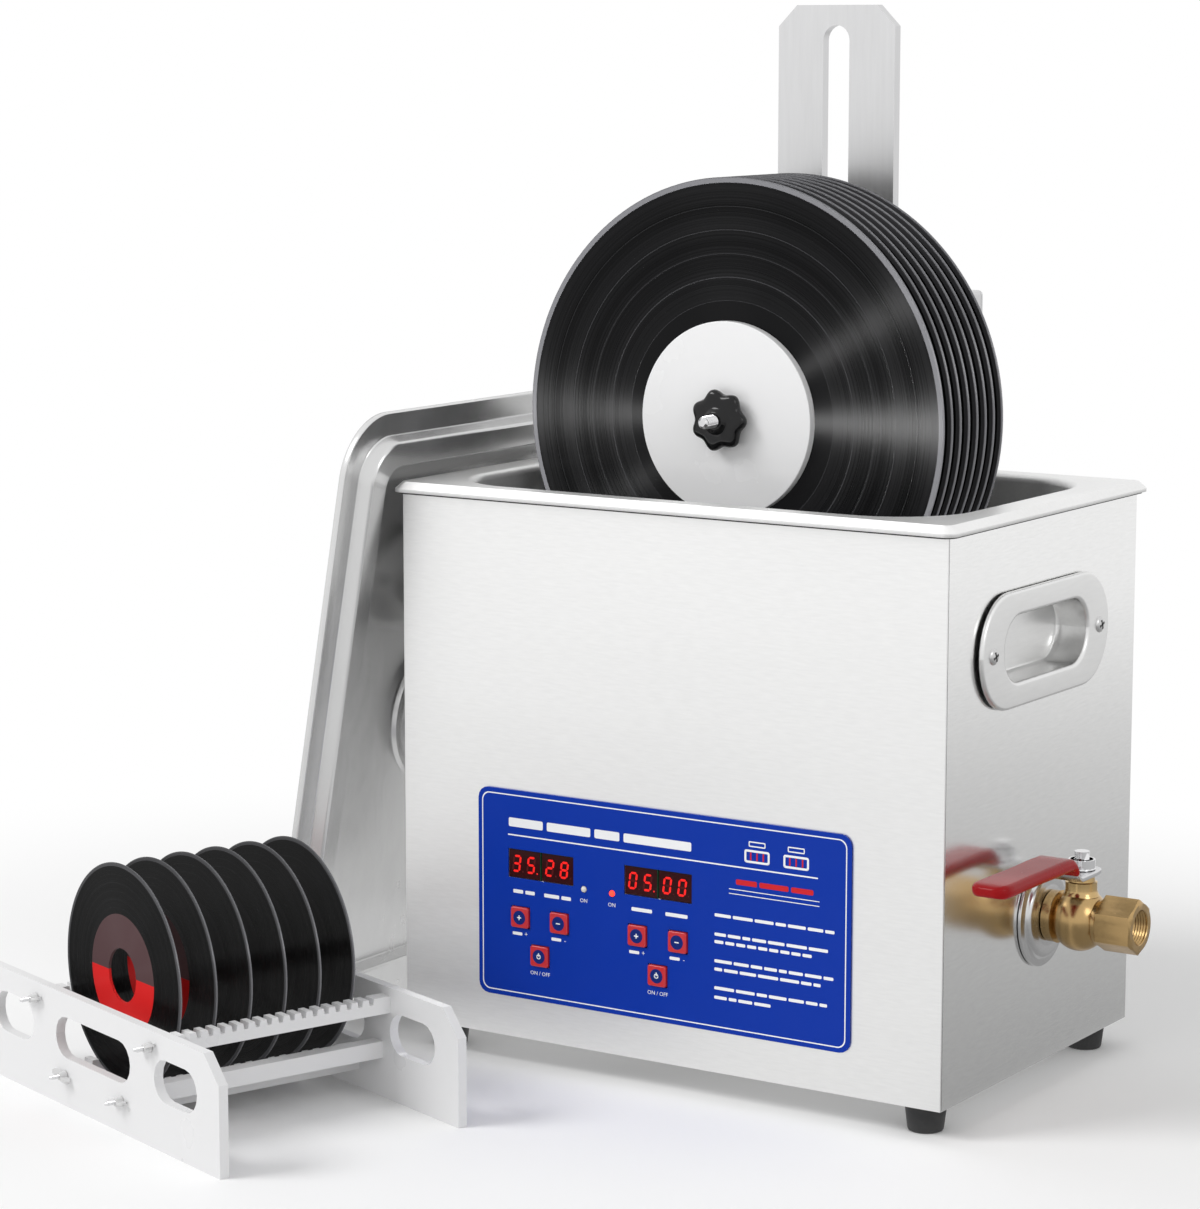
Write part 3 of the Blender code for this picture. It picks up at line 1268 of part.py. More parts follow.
def spindle_knob():
    bore, hub, radius = SPINDLE_RADIUS + SEAM, KNOB_HUB_RADIUS, KNOB_RADIUS
    depth, start = KNOB_DEPTH, KNOB_HUB_LENGTH
    edge = depth * KNOB_EDGE_SHARE
    levels = [
        (bore, 0, 0),
        (hub, 0, 0),
        (hub, start, 0),
        (radius - edge, start, KNOB_DIP_SHARE),
        (radius, start + edge, KNOB_DIP_SHARE),
        (radius, depth - edge, KNOB_DIP_SHARE),
        (radius - edge, depth, KNOB_DIP_SHARE),
        (bore, depth, 0),
    ]
    star = loft(star_loops(levels, KNOB_LOBES, 4), closed=True)
    obj = finished("spindle_knob", star, BLACK, ALONG_FRONT, SMOOTH)
    face = FIRST_RECORD_Y - RECORD_THICKNESS / 2 - SEAM - LABEL_DISC_THICKNESS - SEAM
    place(obj, SPINDLE_X, face, SPINDLE_Z)


def disc(name, bore, radius, thickness, steps):
    half = thickness / 2
    profile = [(bore, -half), (radius, -half), (radius, half), (bore, half)]
    return finished(name, turned(profile, steps, closed=True), VINYL, ALONG_FRONT, SMOOTH)


def records():
    first = disc("record_1", SPINDLE_RADIUS + SEAM, RECORD_RADIUS, RECORD_THICKNESS, RECORD_STEPS)
    for i in range(RECORD_COUNT):
        record = copy_of(first, f"record_{i + 1}", VINYL) if i else first
        place(record, SPINDLE_X, FIRST_RECORD_Y + i * RECORD_PITCH, SPINDLE_Z)


# Lid: a pressed sheet that faces the machine, with a strap handle on its far side.
def lid_place():
    """Foot of the leaning lid. Its raised frame meets the rim's left end or, on a taller machine
    whose rim is above the frame, the case's side."""
    lean = LID_LEAN
    crest = LID_FRAME_HEIGHT + SEAM
    rim_z = RIM_TOP - RIM_SLOPE
    along = (rim_z + crest * math.sin(lean)) / math.cos(lean)
    edge = RIM_HALF_WIDTH
    frame_end = LID_LENGTH - LID_FLANGE - LID_FRAME_SLOPE
    if frame_end * math.cos(lean) < rim_z - RIM_LIP:
        along, edge = frame_end, SIDE_X
    return -edge - crest * math.cos(lean) - along * math.sin(lean)


def lid_turn():
    """Lays the lid's X along the machine's Y, its Y upwards along the lean and its Z towards the machine."""
    lean = LID_LEAN
    columns = ((0, 1, 0), (math.sin(lean), 0, math.cos(lean)), (math.cos(lean), 0, -math.sin(lean)))
    return Matrix([[columns[c][r] for c in range(3)] for r in range(3)]).to_4x4()


def lid():
    steps = 4
    half_x, half_y = LID_WIDTH / 2, LID_LENGTH / 2
    middle = Vector((half_x, half_y, 0))

    def loop(inset, level):
        corner = max(LID_CORNER - inset * LID_CORNER_SHARE, LID_FRAME_SLOPE)
        return [p + middle for p in rounded(half_x - inset, half_y - inset, corner, steps, level)]

    frame = LID_FLANGE + LID_FRAME_WIDTH
    slope, rise = LID_FRAME_SLOPE, LID_FRAME_HEIGHT
    loops = [
        loop(0, -LID_HEM),
        loop(0, -LID_SHEET / 2),
        loop(LID_SHEET / 2, 0),
        loop(LID_FLANGE, 0),
        loop(LID_FLANGE + slope / 2, rise - slope / 2),
        loop(LID_FLANGE + slope, rise),
        loop(frame - slope, rise),
        loop(frame, 0),
    ]
    bowl = LID_BOWL_RADIUS
    bead = LID_BOWL_BEAD

    def circle(radius, level):
        count = 4 * (steps + 1)
        turn = Matrix.Rotation(math.pi / count, 3, "Z")
        return [turn @ p + middle for p in ring(radius, count, level)]

    loops += [
        circle(bowl, 0),
        circle(bowl - bead / 3, bead / 2),
        circle(bowl - bead, bead / 2),
        circle(bowl - bead * BOWL_LIP_SHARE, LID_BOWL_DEPTH * BOWL_EDGE_SHARE),
        circle(bowl - bead * BOWL_FLOOR_SHARE, LID_BOWL_DEPTH),
    ]
    obj = pressed("lid", loops, LID_SHEET, POLISHED, lid_turn())
    place(obj, lid_place(), LID_FRONT_Y, 0)


def lid_handle():
    half = LID_BOWL_RADIUS + STRAP_HANDLE_LAP
    outline = as_pairs(rounded(STRAP_HANDLE_WIDTH / 2, half, STRAP_HANDLE_THICKNESS, 3))
    shift = Matrix.Translation((LID_WIDTH / 2, LID_LENGTH / 2, -LID_SHEET - SEAM - STRAP_HANDLE_THICKNESS))
    obj = finished("lid_handle", plate(outline, STRAP_HANDLE_THICKNESS), POLISHED, lid_turn() @ shift)
    place(obj, lid_place(), LID_FRONT_Y, 0)


# Disc rack: two plates, four toothed bars and a plain one between them, and six small discs.
def rack_place(obj, along, deep, level):
    """Puts an object at a place given along and across the rack."""
    turn = Matrix.Rotation(RACK_TURN, 4, "Z")
    spot = turn @ Vector((along, deep, level))
    obj.rotation_euler = (0, 0, RACK_TURN)
    place(obj, RACK_X + spot.x, RACK_Y + spot.y, spot.z)


def rack_outline():
    cut = RACK_CHAMFER
    return [
        (0, 0),
        (RACK_LENGTH, 0),
        (RACK_LENGTH, RACK_HEIGHT - cut),
        (RACK_LENGTH - cut, RACK_HEIGHT),
        (cut, RACK_HEIGHT),
        (0, RACK_HEIGHT - cut),
    ]


def rack_holes(name):
    holes = bmesh.new()
    for offset, width in (
        (-RACK_SIDE_HOLE_OFFSET, RACK_SIDE_HOLE),
        (0, RACK_MIDDLE_HOLE),
        (RACK_SIDE_HOLE_OFFSET, RACK_SIDE_HOLE),
    ):
        shape = rounded(width / 2, RACK_HOLE_HEIGHT / 2, RACK_HOLE_HEIGHT / 2 * STADIUM_SHARE, 4)
        low = [holes.verts.new((p.x + offset, -OVERRUN, p.y)) for p in shape]
        high = [holes.verts.new((p.x + offset, RACK_PLATE + OVERRUN, p.y)) for p in shape]
        for i in range(len(shape)):
            j = (i + 1) % len(shape)
            holes.faces.new((low[i], low[j], high[j], high[i]))
        holes.faces.new(list(reversed(low)))
        holes.faces.new(high)
    return finished(name, holes, None)


def rack_plate(name, deep):
    turn = Matrix.Translation((0, RACK_PLATE, 0)) @ ALONG_FRONT
    obj = finished(name, plate(rack_outline(), RACK_PLATE), WHITE, turn)
    rack_place(obj, 0, deep, 0)
    tool = rack_holes(f"{name}_holes")
    rack_place(tool, RACK_LENGTH / 2, deep, RACK_HOLE_Z)
    combine(obj, tool, "DIFFERENCE")
    return obj


def bar(built, offset, top, height, toothed=True):
    """Adds a bar between the plates, with a notch in its upper edge at every tooth pitch."""
    start = RACK_PLATE + SEAM
    end = RACK_DEPTH - RACK_PLATE / 2
    outline = [(end, top), (end, top - height), (start, top - height), (start, top)]
    count = int((RACK_DEPTH - 2 * RACK_PLATE) / TOOTH_PITCH) - 1 if toothed else 0
    for i in range(count):
        middle = RACK_PLATE + (i + 1) * TOOTH_PITCH
        half = TOOTH_GAP / 2
        outline += [
            (middle - half - TOOTH_SLOPE, top),
            (middle - half, top - TOOTH_DEPTH),
            (middle + half, top - TOOTH_DEPTH),
            (middle + half + TOOTH_SLOPE, top),
        ]
    middle = RACK_LENGTH / 2 + offset
    low = [built.verts.new((middle - BAR_WIDTH / 2, y, z)) for y, z in outline]
    high = [built.verts.new((middle + BAR_WIDTH / 2, y, z)) for y, z in outline]
    for i in range(len(outline)):
        j = (i + 1) % len(outline)
        built.faces.new((low[i], low[j], high[j], high[i]))
    built.faces.new(list(reversed(low)))
    built.faces.new(high)


def rack():
    rack_plate("rack_front_plate", 0)
    rear = rack_plate("rack_rear_plate", RACK_DEPTH - RACK_PLATE)
    bars = bmesh.new()
    for side in (-1, 1):
        bar(bars, side * HIGH_BAR_OFFSET, HIGH_BAR_TOP, BAR_HEIGHT)
        bar(bars, side * LOW_BAR_OFFSET, LOW_BAR_TOP, LOW_BAR_HEIGHT)
    bar(bars, TIE_BAR_OFFSET, TIE_BAR_Z, BAR_HEIGHT, toothed=False)
    tool = finished("rack_bars", bars, None)
    rack_place(tool, 0, 0, 0)
    combine(rear, tool, "UNION")


def small_discs():
    first = disc("small_disc_1", SMALL_DISC_HOLE, SMALL_DISC_RADIUS, SMALL_DISC_THICKNESS, SMALL_DISC_STEPS)
    for i in range(SMALL_DISC_COUNT):
        small = copy_of(first, f"small_disc_{i + 1}", VINYL) if i else first
        deep = RACK_PLATE + (FIRST_DISC_TOOTH + i * SMALL_DISC_TEETH) * TOOTH_PITCH
        rack_place(small, RACK_LENGTH / 2, deep, SMALL_DISC_Z)


base_plate()
casing_wrap()
front_panel()
feet()
tank()
transducers()
heater_mat()
generator_board()
control_panel()
display_board()
keys()
handles()
drain_elbow()
valve_flange()
valve_body()
valve_ball_stem()
valve_lever()
power_inlet()
switch()
fan()
mast_bracket()
mast()
motor_box()
motor_box_cover()
gear_motor()
clamp_knob()
spindle()
label_discs()
spindle_knob()
records()
lid()
lid_handle()
rack()
small_discs()
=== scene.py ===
# Record cleaning machine, dressed for a studio picture: an ultrasonic bath in a steel case, with
# a motorised spindle that hangs ten-inch records in it, its polished lid leaning on the case and
# a white rack of small discs beside it. Lengths are metres and +Z is up.
import json
import math

import bmesh
import bpy
from mathutils import Matrix, Vector

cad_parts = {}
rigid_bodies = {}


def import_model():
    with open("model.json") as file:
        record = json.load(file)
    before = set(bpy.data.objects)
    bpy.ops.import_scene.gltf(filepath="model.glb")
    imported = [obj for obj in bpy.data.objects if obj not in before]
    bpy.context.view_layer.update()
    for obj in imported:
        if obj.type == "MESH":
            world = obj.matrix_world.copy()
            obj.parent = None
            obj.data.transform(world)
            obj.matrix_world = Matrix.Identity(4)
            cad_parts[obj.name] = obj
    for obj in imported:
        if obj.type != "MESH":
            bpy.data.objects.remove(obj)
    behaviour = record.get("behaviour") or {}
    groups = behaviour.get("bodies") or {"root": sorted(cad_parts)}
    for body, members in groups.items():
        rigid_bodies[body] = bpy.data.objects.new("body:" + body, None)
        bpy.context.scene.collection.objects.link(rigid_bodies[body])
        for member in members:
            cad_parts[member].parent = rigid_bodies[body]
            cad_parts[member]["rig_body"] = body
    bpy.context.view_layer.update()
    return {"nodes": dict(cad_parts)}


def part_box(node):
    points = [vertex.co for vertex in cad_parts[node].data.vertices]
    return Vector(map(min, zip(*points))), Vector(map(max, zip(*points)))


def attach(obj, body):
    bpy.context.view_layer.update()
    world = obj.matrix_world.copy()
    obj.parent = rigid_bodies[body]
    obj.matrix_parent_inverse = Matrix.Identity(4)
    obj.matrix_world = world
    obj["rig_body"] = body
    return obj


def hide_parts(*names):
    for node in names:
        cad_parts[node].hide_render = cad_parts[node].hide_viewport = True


for old in list(bpy.data.objects):
    bpy.data.objects.remove(old, do_unlink=True)
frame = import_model()

# Studio: a wide white floor that fades into a white room, a large soft lamp on the left and a
# smaller one on the right. Four more light only the discs and draw the fans on their grooves.
# Metal mirrors painted floor greys: a painted reflection of shade, greyer close to the set and to its
# right.
FLOOR_HALF = 9.0
FLOOR_WHITE = (0.93, 0.93, 0.93, 1)
ROOM_WHITE = (1.0, 1.0, 1.0, 1)
ROOM_LIGHT = 0.66
MIRROR_FRONT = (0.80, 1.0)
MIRROR_SIDE = (0.36, 0.92)
MIRROR_FADE = (0.25, 1.9)
SIDE_STARTS = (0.19, 0.24)
FLOOR_FADE = (0.38, 0.78)
SET_MIDDLE = (0.05, 0.1, 0.33)
CAMERA_PLACE = (1.0045, -1.509, 0.527)
CAMERA_TURN = (math.radians(81.14), 0, math.radians(33.14))
CAMERA_LENS = 108.66


def node(tree, kind, inputs=None, **settings):
    """Adds a shader node. Each input is given a value, or is wired to a socket or to a node's first one."""
    made = tree.nodes.new("ShaderNode" + kind)
    for name, value in settings.items():
        setattr(made, name, value)
    for name, value in (inputs or {}).items():
        value = value.outputs[0] if isinstance(value, bpy.types.Node) else value
        if isinstance(value, bpy.types.NodeSocket):
            tree.links.new(value, made.inputs[name])
        else:
            made.inputs[name].default_value = value
    return made


def new_finish(name):
    """Starts a material. Returns it with its nodes and its shader."""
    finish = bpy.data.materials.new(name)
    finish.use_nodes = True
    return finish, finish.node_tree, finish.node_tree.nodes["Principled BSDF"]


def floor_finish():
    """Real shadows near the set, white far from it, and a painted reflection of shade for mirrored rays."""
    finish, tree, shader = new_finish("white floor")
    shader.inputs["Base Color"].default_value = FLOOR_WHITE
    shader.inputs["Roughness"].default_value = 0.8
    shader.inputs["Specular IOR Level"].default_value = 0.0
    spot = node(tree, "TexCoord")
    away = node(tree, "VectorMath", {0: spot.outputs["Object"]}, operation="LENGTH")
    far = node(tree, "MapRange", {"Value": away.outputs["Value"], "From Min": FLOOR_FADE[0],
               "From Max": FLOOR_FADE[1]},
               interpolation_type="SMOOTHSTEP")
    place = node(tree, "SeparateXYZ", {0: spot.outputs["Object"]})
    side = node(tree, "MapRange", {"Value": place.outputs["X"], "From Min": SIDE_STARTS[0],
                "From Max": SIDE_STARTS[1]})
    greys = [node(tree, "MapRange", {"Value": away.outputs["Value"], "From Min": MIRROR_FADE[0],
                  "From Max": MIRROR_FADE[1], "To Min": near, "To Max": beyond})
             for near, beyond in (MIRROR_FRONT, MIRROR_SIDE)]
    # Painted reflection of shade: greys that only mirrored rays see, darker near the set and right of the
    # case.
    painted_mirror_greys = node(tree, "Mix", {0: side, 2: greys[0],
                3: greys[1]})
    seen = node(tree, "LightPath")
    white = node(tree, "Emission", {"Color": ROOM_WHITE, "Strength": 1.0})
    mirrored = node(tree, "Emission", {"Color": ROOM_WHITE, "Strength": painted_mirror_greys})
    shown = node(tree, "Math", {0: seen.outputs["Is Camera Ray"], 1: far},
                 operation="MULTIPLY")
    plain = node(tree, "MixShader", {0: shown, 1: shader, 2: white})
    whole = node(tree, "MixShader", {0: seen.outputs["Is Glossy Ray"], 1: plain,
                 2: mirrored})
    tree.links.new(whole.outputs[0], tree.nodes["Material Output"].inputs["Surface"])
    return finish


sheet = bmesh.new()
bmesh.ops.create_grid(sheet, x_segments=1, y_segments=1, size=FLOOR_HALF)
paper = bpy.data.meshes.new("studio_floor")
sheet.to_mesh(paper)
sheet.free()
paper.materials.append(floor_finish())
floor = bpy.data.objects.new("studio_floor", paper)
bpy.context.scene.collection.objects.link(floor)

room = bpy.data.worlds.new("bright room")
bpy.context.scene.world = room
room.use_nodes = True
seen = node(room.node_tree, "LightPath")
direct = node(room.node_tree, "Math", {0: seen.outputs["Is Camera Ray"],
              1: seen.outputs["Is Glossy Ray"]}, operation="MAXIMUM")
direct = node(room.node_tree, "Math", {0: direct,
              1: seen.outputs["Is Transmission Ray"]}, operation="MAXIMUM")
level = node(room.node_tree, "MapRange", {"Value": direct,
             "To Min": ROOM_LIGHT, "To Max": 1.0})
background = room.node_tree.nodes["Background"]
background.inputs["Color"].default_value = ROOM_WHITE
room.node_tree.links.new(level.outputs["Result"], background.inputs["Strength"])


def soft_lamp(name, place, aim, size, power, only=None):
    """A round soft lamp. Given a collection, it lights nothing else and nothing else shades it."""
    lamp = bpy.data.lights.new(name, "AREA")
    lamp.shape = "DISK"
    lamp.size = size
    lamp.energy = power
    holder = bpy.data.objects.new(name, lamp)
    holder.location = place
    holder.rotation_euler = (Vector(aim) - Vector(place)).to_track_quat("-Z", "Y").to_euler()
    bpy.context.scene.collection.objects.link(holder)
    if only:
        holder.light_linking.receiver_collection = only
        holder.light_linking.blocker_collection = only


grooved_discs = bpy.data.collections.new("grooved discs")
tall_records = bpy.data.collections.new("tall records")
small_discs = bpy.data.collections.new("small discs")
soft_lamp("left softbox", (-1.7, -1.9, 2.4), (0, 0, 0.2), 1.6, 52)
soft_lamp("right softbox", (2.6, -0.7, 1.7), (0, 0.1, 0.2), 1.2, 9)
soft_lamp("low fan lamp", (0.05, -1.10, 0.22), SET_MIDDLE, 0.10, 40, tall_records)
soft_lamp("high fan lamp", (0.02, -1.07, 0.58), SET_MIDDLE, 0.10, 16, tall_records)
soft_lamp("rack fan lamp", (0.25, -1.15, 0.35), (-0.2, -0.1, 0.1), 0.15, 5, small_discs)
soft_lamp("rim lamp", (2.4, 0.25, 1.0), SET_MIDDLE, 1.1, 170, grooved_discs)

camera = bpy.data.objects.new("camera", bpy.data.cameras.new("camera"))
camera.location = CAMERA_PLACE
camera.rotation_euler = CAMERA_TURN
camera.data.lens = CAMERA_LENS
bpy.context.scene.collection.objects.link(camera)
bpy.context.scene.camera = camera
bpy.context.scene.view_settings.view_transform = "Standard"

# Steel case: a plain base plate, one wrap folded for the sides and back, and a front sheet,
# all of rolled stainless steel with softened folds. Four rubber feet screw to the base.
MACHINE = Vector((0.0555, 0.106, 0))
BODY_WIDTH = 0.317
BODY_DEPTH = 0.210
SHEET = 0.0012
STEEL_COLOUR = (0.93, 0.93, 0.925, 1)
FOOT_BLACK = (0.018, 0.018, 0.019, 1)
FOOT_HEIGHT = 0.0147
FOOT_TOP_RADIUS = 0.0105
FOOT_BOTTOM_RADIUS = 0.0090
FOOT_RIM = 0.0012
FOOT_WELL_RADIUS = 0.0048
FOOT_WELL_DEPTH = 0.004


def effect(name, takes, gives):
    """Starts a node group that several finishes share. Returns it with its own two ends."""
    kinds = {"value": "NodeSocketFloat", "colour": "NodeSocketColor", "vector": "NodeSocketVector"}
    group = bpy.data.node_groups.new(name, "ShaderNodeTree")
    for label, kind, value in takes:
        socket = group.interface.new_socket(label, in_out="INPUT", socket_type=kinds[kind])
        if value is not None:
            socket.default_value = value
    for label, kind in gives:
        group.interface.new_socket(label, in_out="OUTPUT", socket_type=kinds[kind])
    return group, group.nodes.new("NodeGroupInput").outputs, group.nodes.new("NodeGroupOutput").inputs


def rolled_grain():
    """Fine lines of rolled or brushed metal, with slow clouds of polish over them."""
    group, given, out = effect(
        "rolled grain",
        [("Vector", "vector", None), ("Fineness", "value", 300.0), ("Colour", "colour", (0.8, 0.8, 0.8, 1)),
         ("Roughness", "value", 0.3), ("Change", "value", 0.1)],
        [("Colour", "colour"), ("Roughness", "value"), ("Height", "value")])
    lines = node(group, "TexNoise", {"Vector": given["Vector"], "Scale": given["Fineness"],
                 "Detail": 4.0, "Roughness": 0.6})
    clouds = node(group, "TexNoise", {"Vector": given["Vector"], "Scale": 9.0, "Detail": 3.0})
    both = node(group, "Math", {0: lines, 1: clouds}, operation="ADD")
    swing = node(group, "Math", {0: both, 1: 1.0}, operation="SUBTRACT")
    change = node(group, "Math", {0: swing, 1: given["Change"], 2: given["Roughness"]},
                  operation="MULTIPLY_ADD")
    shade = node(group, "MapRange", {"Value": both, "From Min": 0.6, "From Max": 1.4,
                 "To Min": 0.93, "To Max": 1.03})
    tone = node(group, "VectorMath", {0: given["Colour"], "Scale": shade},
                operation="SCALE")
    group.links.new(tone.outputs["Vector"], out["Colour"])
    group.links.new(change.outputs[0], out["Roughness"])
    group.links.new(lines.outputs["Fac"], out["Height"])
    return group


def worn_edges():
    """Mask of the corners and folds, where hands and cloths polish a surface first."""
    group, given, out = effect(
        "worn edges", [("Reach", "value", 0.0008), ("Amount", "value", 1.0)], [("Mask", "value")])
    round_normal = node(group, "Bevel", {"Radius": given["Reach"]}, samples=4)
    true_normal = node(group, "NewGeometry")
    match = node(group, "VectorMath", {0: round_normal.outputs["Normal"],
                 1: true_normal.outputs["Normal"]}, operation="DOT_PRODUCT")
    edge = node(group, "MapRange", {"Value": match.outputs["Value"], "From Min": 0.995,
                "From Max": 0.90})
    patch = node(group, "TexNoise", {"Scale": 90.0, "Detail": 3.0})
    mask = node(group, "Math", {0: edge, 1: patch},
                operation="MULTIPLY")
    scaled = node(group, "Math", {0: mask, 1: given["Amount"]}, operation="MULTIPLY",
                  use_clamp=True)
    group.links.new(scaled.outputs[0], out["Mask"])
    return group


def settled_dust():
    """Thin dust on faces that look up, and faint smears where the piece is handled."""
    group, given, out = effect(
        "settled dust",
        [("Vector", "vector", None), ("Colour", "colour", (0.5, 0.5, 0.5, 1)), ("Roughness", "value", 0.3),
         ("Amount", "value", 0.3)],
        [("Colour", "colour"), ("Roughness", "value")])
    smear = node(group, "TexNoise", {"Vector": given["Vector"], "Scale": 26.0, "Detail": 5.0,
                 "Roughness": 0.65, "Distortion": 0.6})
    facing = node(group, "NewGeometry")
    up = node(group, "SeparateXYZ", {0: facing.outputs["Normal"]})
    lying = node(group, "MapRange", {"Value": up.outputs["Z"], "From Min": 0.2, "From Max": 1.0,
                 "To Min": 0.25, "To Max": 1.0})
    patch = node(group, "MapRange", {"Value": smear, "From Min": 0.42,
                 "From Max": 0.72})
    mask = node(group, "Math", {0: patch, 1: lying},
                operation="MULTIPLY")
    much = node(group, "Math", {0: mask, 1: given["Amount"]}, operation="MULTIPLY",
                use_clamp=True)
    dull = node(group, "Math", {0: much, 1: 0.22, 2: given["Roughness"]},
                operation="MULTIPLY_ADD")
    tone = node(group, "Mix", {0: much, 6: given["Colour"],
                7: (0.62, 0.61, 0.59, 1)}, data_type="RGBA")
    thin = node(group, "Mix", {0: 0.35, 6: given["Colour"],
                7: tone.outputs[2]}, data_type="RGBA")
    group.links.new(thin.outputs[2], out["Colour"])
    group.links.new(dull.outputs[0], out["Roughness"])
    return group


def placed(tree, group, inputs):
    """Puts a shared effect into a finish with its own values."""
    return node(tree, "Group", inputs, node_tree=group)


def surfaced(tree, shader, lying, bump):
    """Wires a finish's last colour, roughness and relief to its shader."""
    tree.links.new(lying.outputs["Colour"], shader.inputs["Base Color"])
    tree.links.new(lying.outputs["Roughness"], shader.inputs["Roughness"])
    tree.links.new(bump.outputs["Normal"], shader.inputs["Normal"])


GRAIN = rolled_grain()
WEAR = worn_edges()
DUST = settled_dust()


def metal(name, colour, roughness, run=(1, 1, 1), fineness=300.0, change=0.08, relief=0.000006, dust=0.15,
          bare=1.0):
    """Bare metal. The grain runs along the axis whose share in run is smallest. A lower share of bare
    metal lets an even grey through, as a satin polish does."""
    finish, tree, shader = new_finish(name)
    shader.inputs["Metallic"].default_value = bare
    spot = node(tree, "TexCoord")
    lay = node(tree, "Mapping", {"Vector": spot.outputs["Object"], "Scale": run})
    grain = placed(tree, GRAIN, {"Vector": lay.outputs["Vector"], "Fineness": fineness, "Colour": colour,
                   "Roughness": roughness, "Change": change})
    worn = placed(tree, WEAR, {"Amount": 0.5})
    bright = [min(1.0, part * 1.12) for part in colour[:3]] + [1]
    edge = node(tree, "Mix", {0: worn.outputs["Mask"], 6: grain.outputs["Colour"], 7: bright},
                data_type="RGBA")
    lying = placed(tree, DUST, {"Vector": spot.outputs["Object"], "Colour": edge.outputs[2],
                   "Roughness": grain.outputs["Roughness"], "Amount": dust})
    bump = node(tree, "Bump", {"Height": grain.outputs["Height"], "Strength": 0.5,
                "Distance": relief})
    surfaced(tree, shader, lying, bump)
    return finish


def moulded(name, colour, roughness, grain_size=1800.0, relief=0.00001, dust=0.2, worn=0.35, coat=0.0,
            shine=0.5):
    """Moulded plastic or rubber with a fine skin, rubbed paler along its edges."""
    finish, tree, shader = new_finish(name)
    shader.inputs["Coat Weight"].default_value = coat
    shader.inputs["Specular IOR Level"].default_value = shine
    shader.inputs["Coat Roughness"].default_value = 0.08
    spot = node(tree, "TexCoord")
    skin = node(tree, "TexNoise", {"Vector": spot.outputs["Object"], "Scale": grain_size,
                "Detail": 2.0})
    cloud = node(tree, "TexNoise", {"Vector": spot.outputs["Object"], "Scale": 35.0, "Detail": 4.0})
    shade = node(tree, "MapRange", {"Value": cloud, "From Min": 0.3, "From Max": 0.7,
                 "To Min": roughness - 0.04, "To Max": roughness + 0.06})
    rubbed = placed(tree, WEAR, {"Amount": worn})
    pale = [part + (0.5 - part) * 0.35 for part in colour[:3]] + [1]
    edge = node(tree, "Mix", {0: rubbed.outputs["Mask"], 6: colour, 7: pale}, data_type="RGBA")
    lying = placed(tree, DUST, {"Vector": spot.outputs["Object"], "Colour": edge.outputs[2],
                   "Roughness": shade, "Amount": dust})
    bump = node(tree, "Bump", {"Height": skin, "Strength": 0.4, "Distance": relief})
    surfaced(tree, shader, lying, bump)
    return finish


def finished(name, shape, finish, body, *nodes, smooth=35, sheet=0.0):
    """Makes the shape a piece: it rides on its body and stands for the CAD nodes that it dresses.
    A sheet gives an open shape that thickness, behind its face."""
    mesh = bpy.data.meshes.new(name)
    shape.to_mesh(mesh)
    shape.free()
    for part in finish if isinstance(finish, tuple) else (finish,):
        mesh.materials.append(part)
    mesh.shade_smooth()
    mesh.set_sharp_from_angle(angle=math.radians(smooth))
    piece = bpy.data.objects.new(name, mesh)
    bpy.context.scene.collection.objects.link(piece)
    if sheet:
        wall = piece.modifiers.new("sheet", "SOLIDIFY")
        wall.thickness = sheet
        wall.offset = -1
    even = piece.modifiers.new("even shading", "WEIGHTED_NORMAL")
    even.keep_sharp = True
    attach(piece, body)
    if nodes:
        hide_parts(*nodes)
    return piece


def softened(shape, edge, angle=30, segments=2):
    """Rounds every edge that is sharper than the angle."""
    sharp = [e for e in shape.edges if e.is_manifold and e.calc_face_angle(0) > math.radians(angle)]
    bmesh.ops.bevel(shape, geom=sharp, offset=edge, offset_type="OFFSET", segments=segments, profile=0.5,
                    affect="EDGES", material=-1, clamp_overlap=True, loop_slide=True)


def dressed(name, finish, edge=0.0003, angle=30, segments=2, smooth=35):
    """Dresses a CAD node in a merged copy of itself with softened edges."""
    shape = bmesh.new()
    shape.from_mesh(frame["nodes"][name].data)
    bmesh.ops.remove_doubles(shape, verts=shape.verts, dist=0.00001)
    bmesh.ops.dissolve_limit(shape, angle_limit=math.radians(1), verts=shape.verts, edges=shape.edges)
    if edge:
        softened(shape, edge, angle, segments)
    body = frame["nodes"][name]["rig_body"]
    return finished(name + "_dressed", shape, finish, body, name, smooth=smooth)


def spun(profile, steps=48, turn=Matrix()):
    """Turns a profile of (radius, height) points on the lathe about Z."""
    shape = bmesh.new()
    points = [shape.verts.new((radius, 0, height)) for radius, height in profile]
    line = [shape.edges.new(pair) for pair in zip(points, points[1:])]
    bmesh.ops.spin(shape, geom=points + line, cent=(0, 0, 0), axis=(0, 0, 1), angle=math.tau, steps=steps,
                   use_merge=True)
    bmesh.ops.remove_doubles(shape, verts=shape.verts, dist=0.000001)
    bmesh.ops.recalc_face_normals(shape, faces=shape.faces)
    bmesh.ops.transform(shape, matrix=turn, verts=shape.verts)
    return shape


steel = metal("rolled steel", STEEL_COLOUR, 0.38, run=(0.12, 0.12, 1), fineness=900.0, change=0.04,
              relief=0.000002)
dressed("base_plate", steel, 0.0002)
side_steel = metal("polished wrap", STEEL_COLOUR, 0.17, run=(0.12, 0.12, 1), fineness=900.0, change=0.03,
                   relief=0.000001)
dressed("casing_wrap", side_steel, 0.0004)
dressed("front_panel", steel, 0.0003)

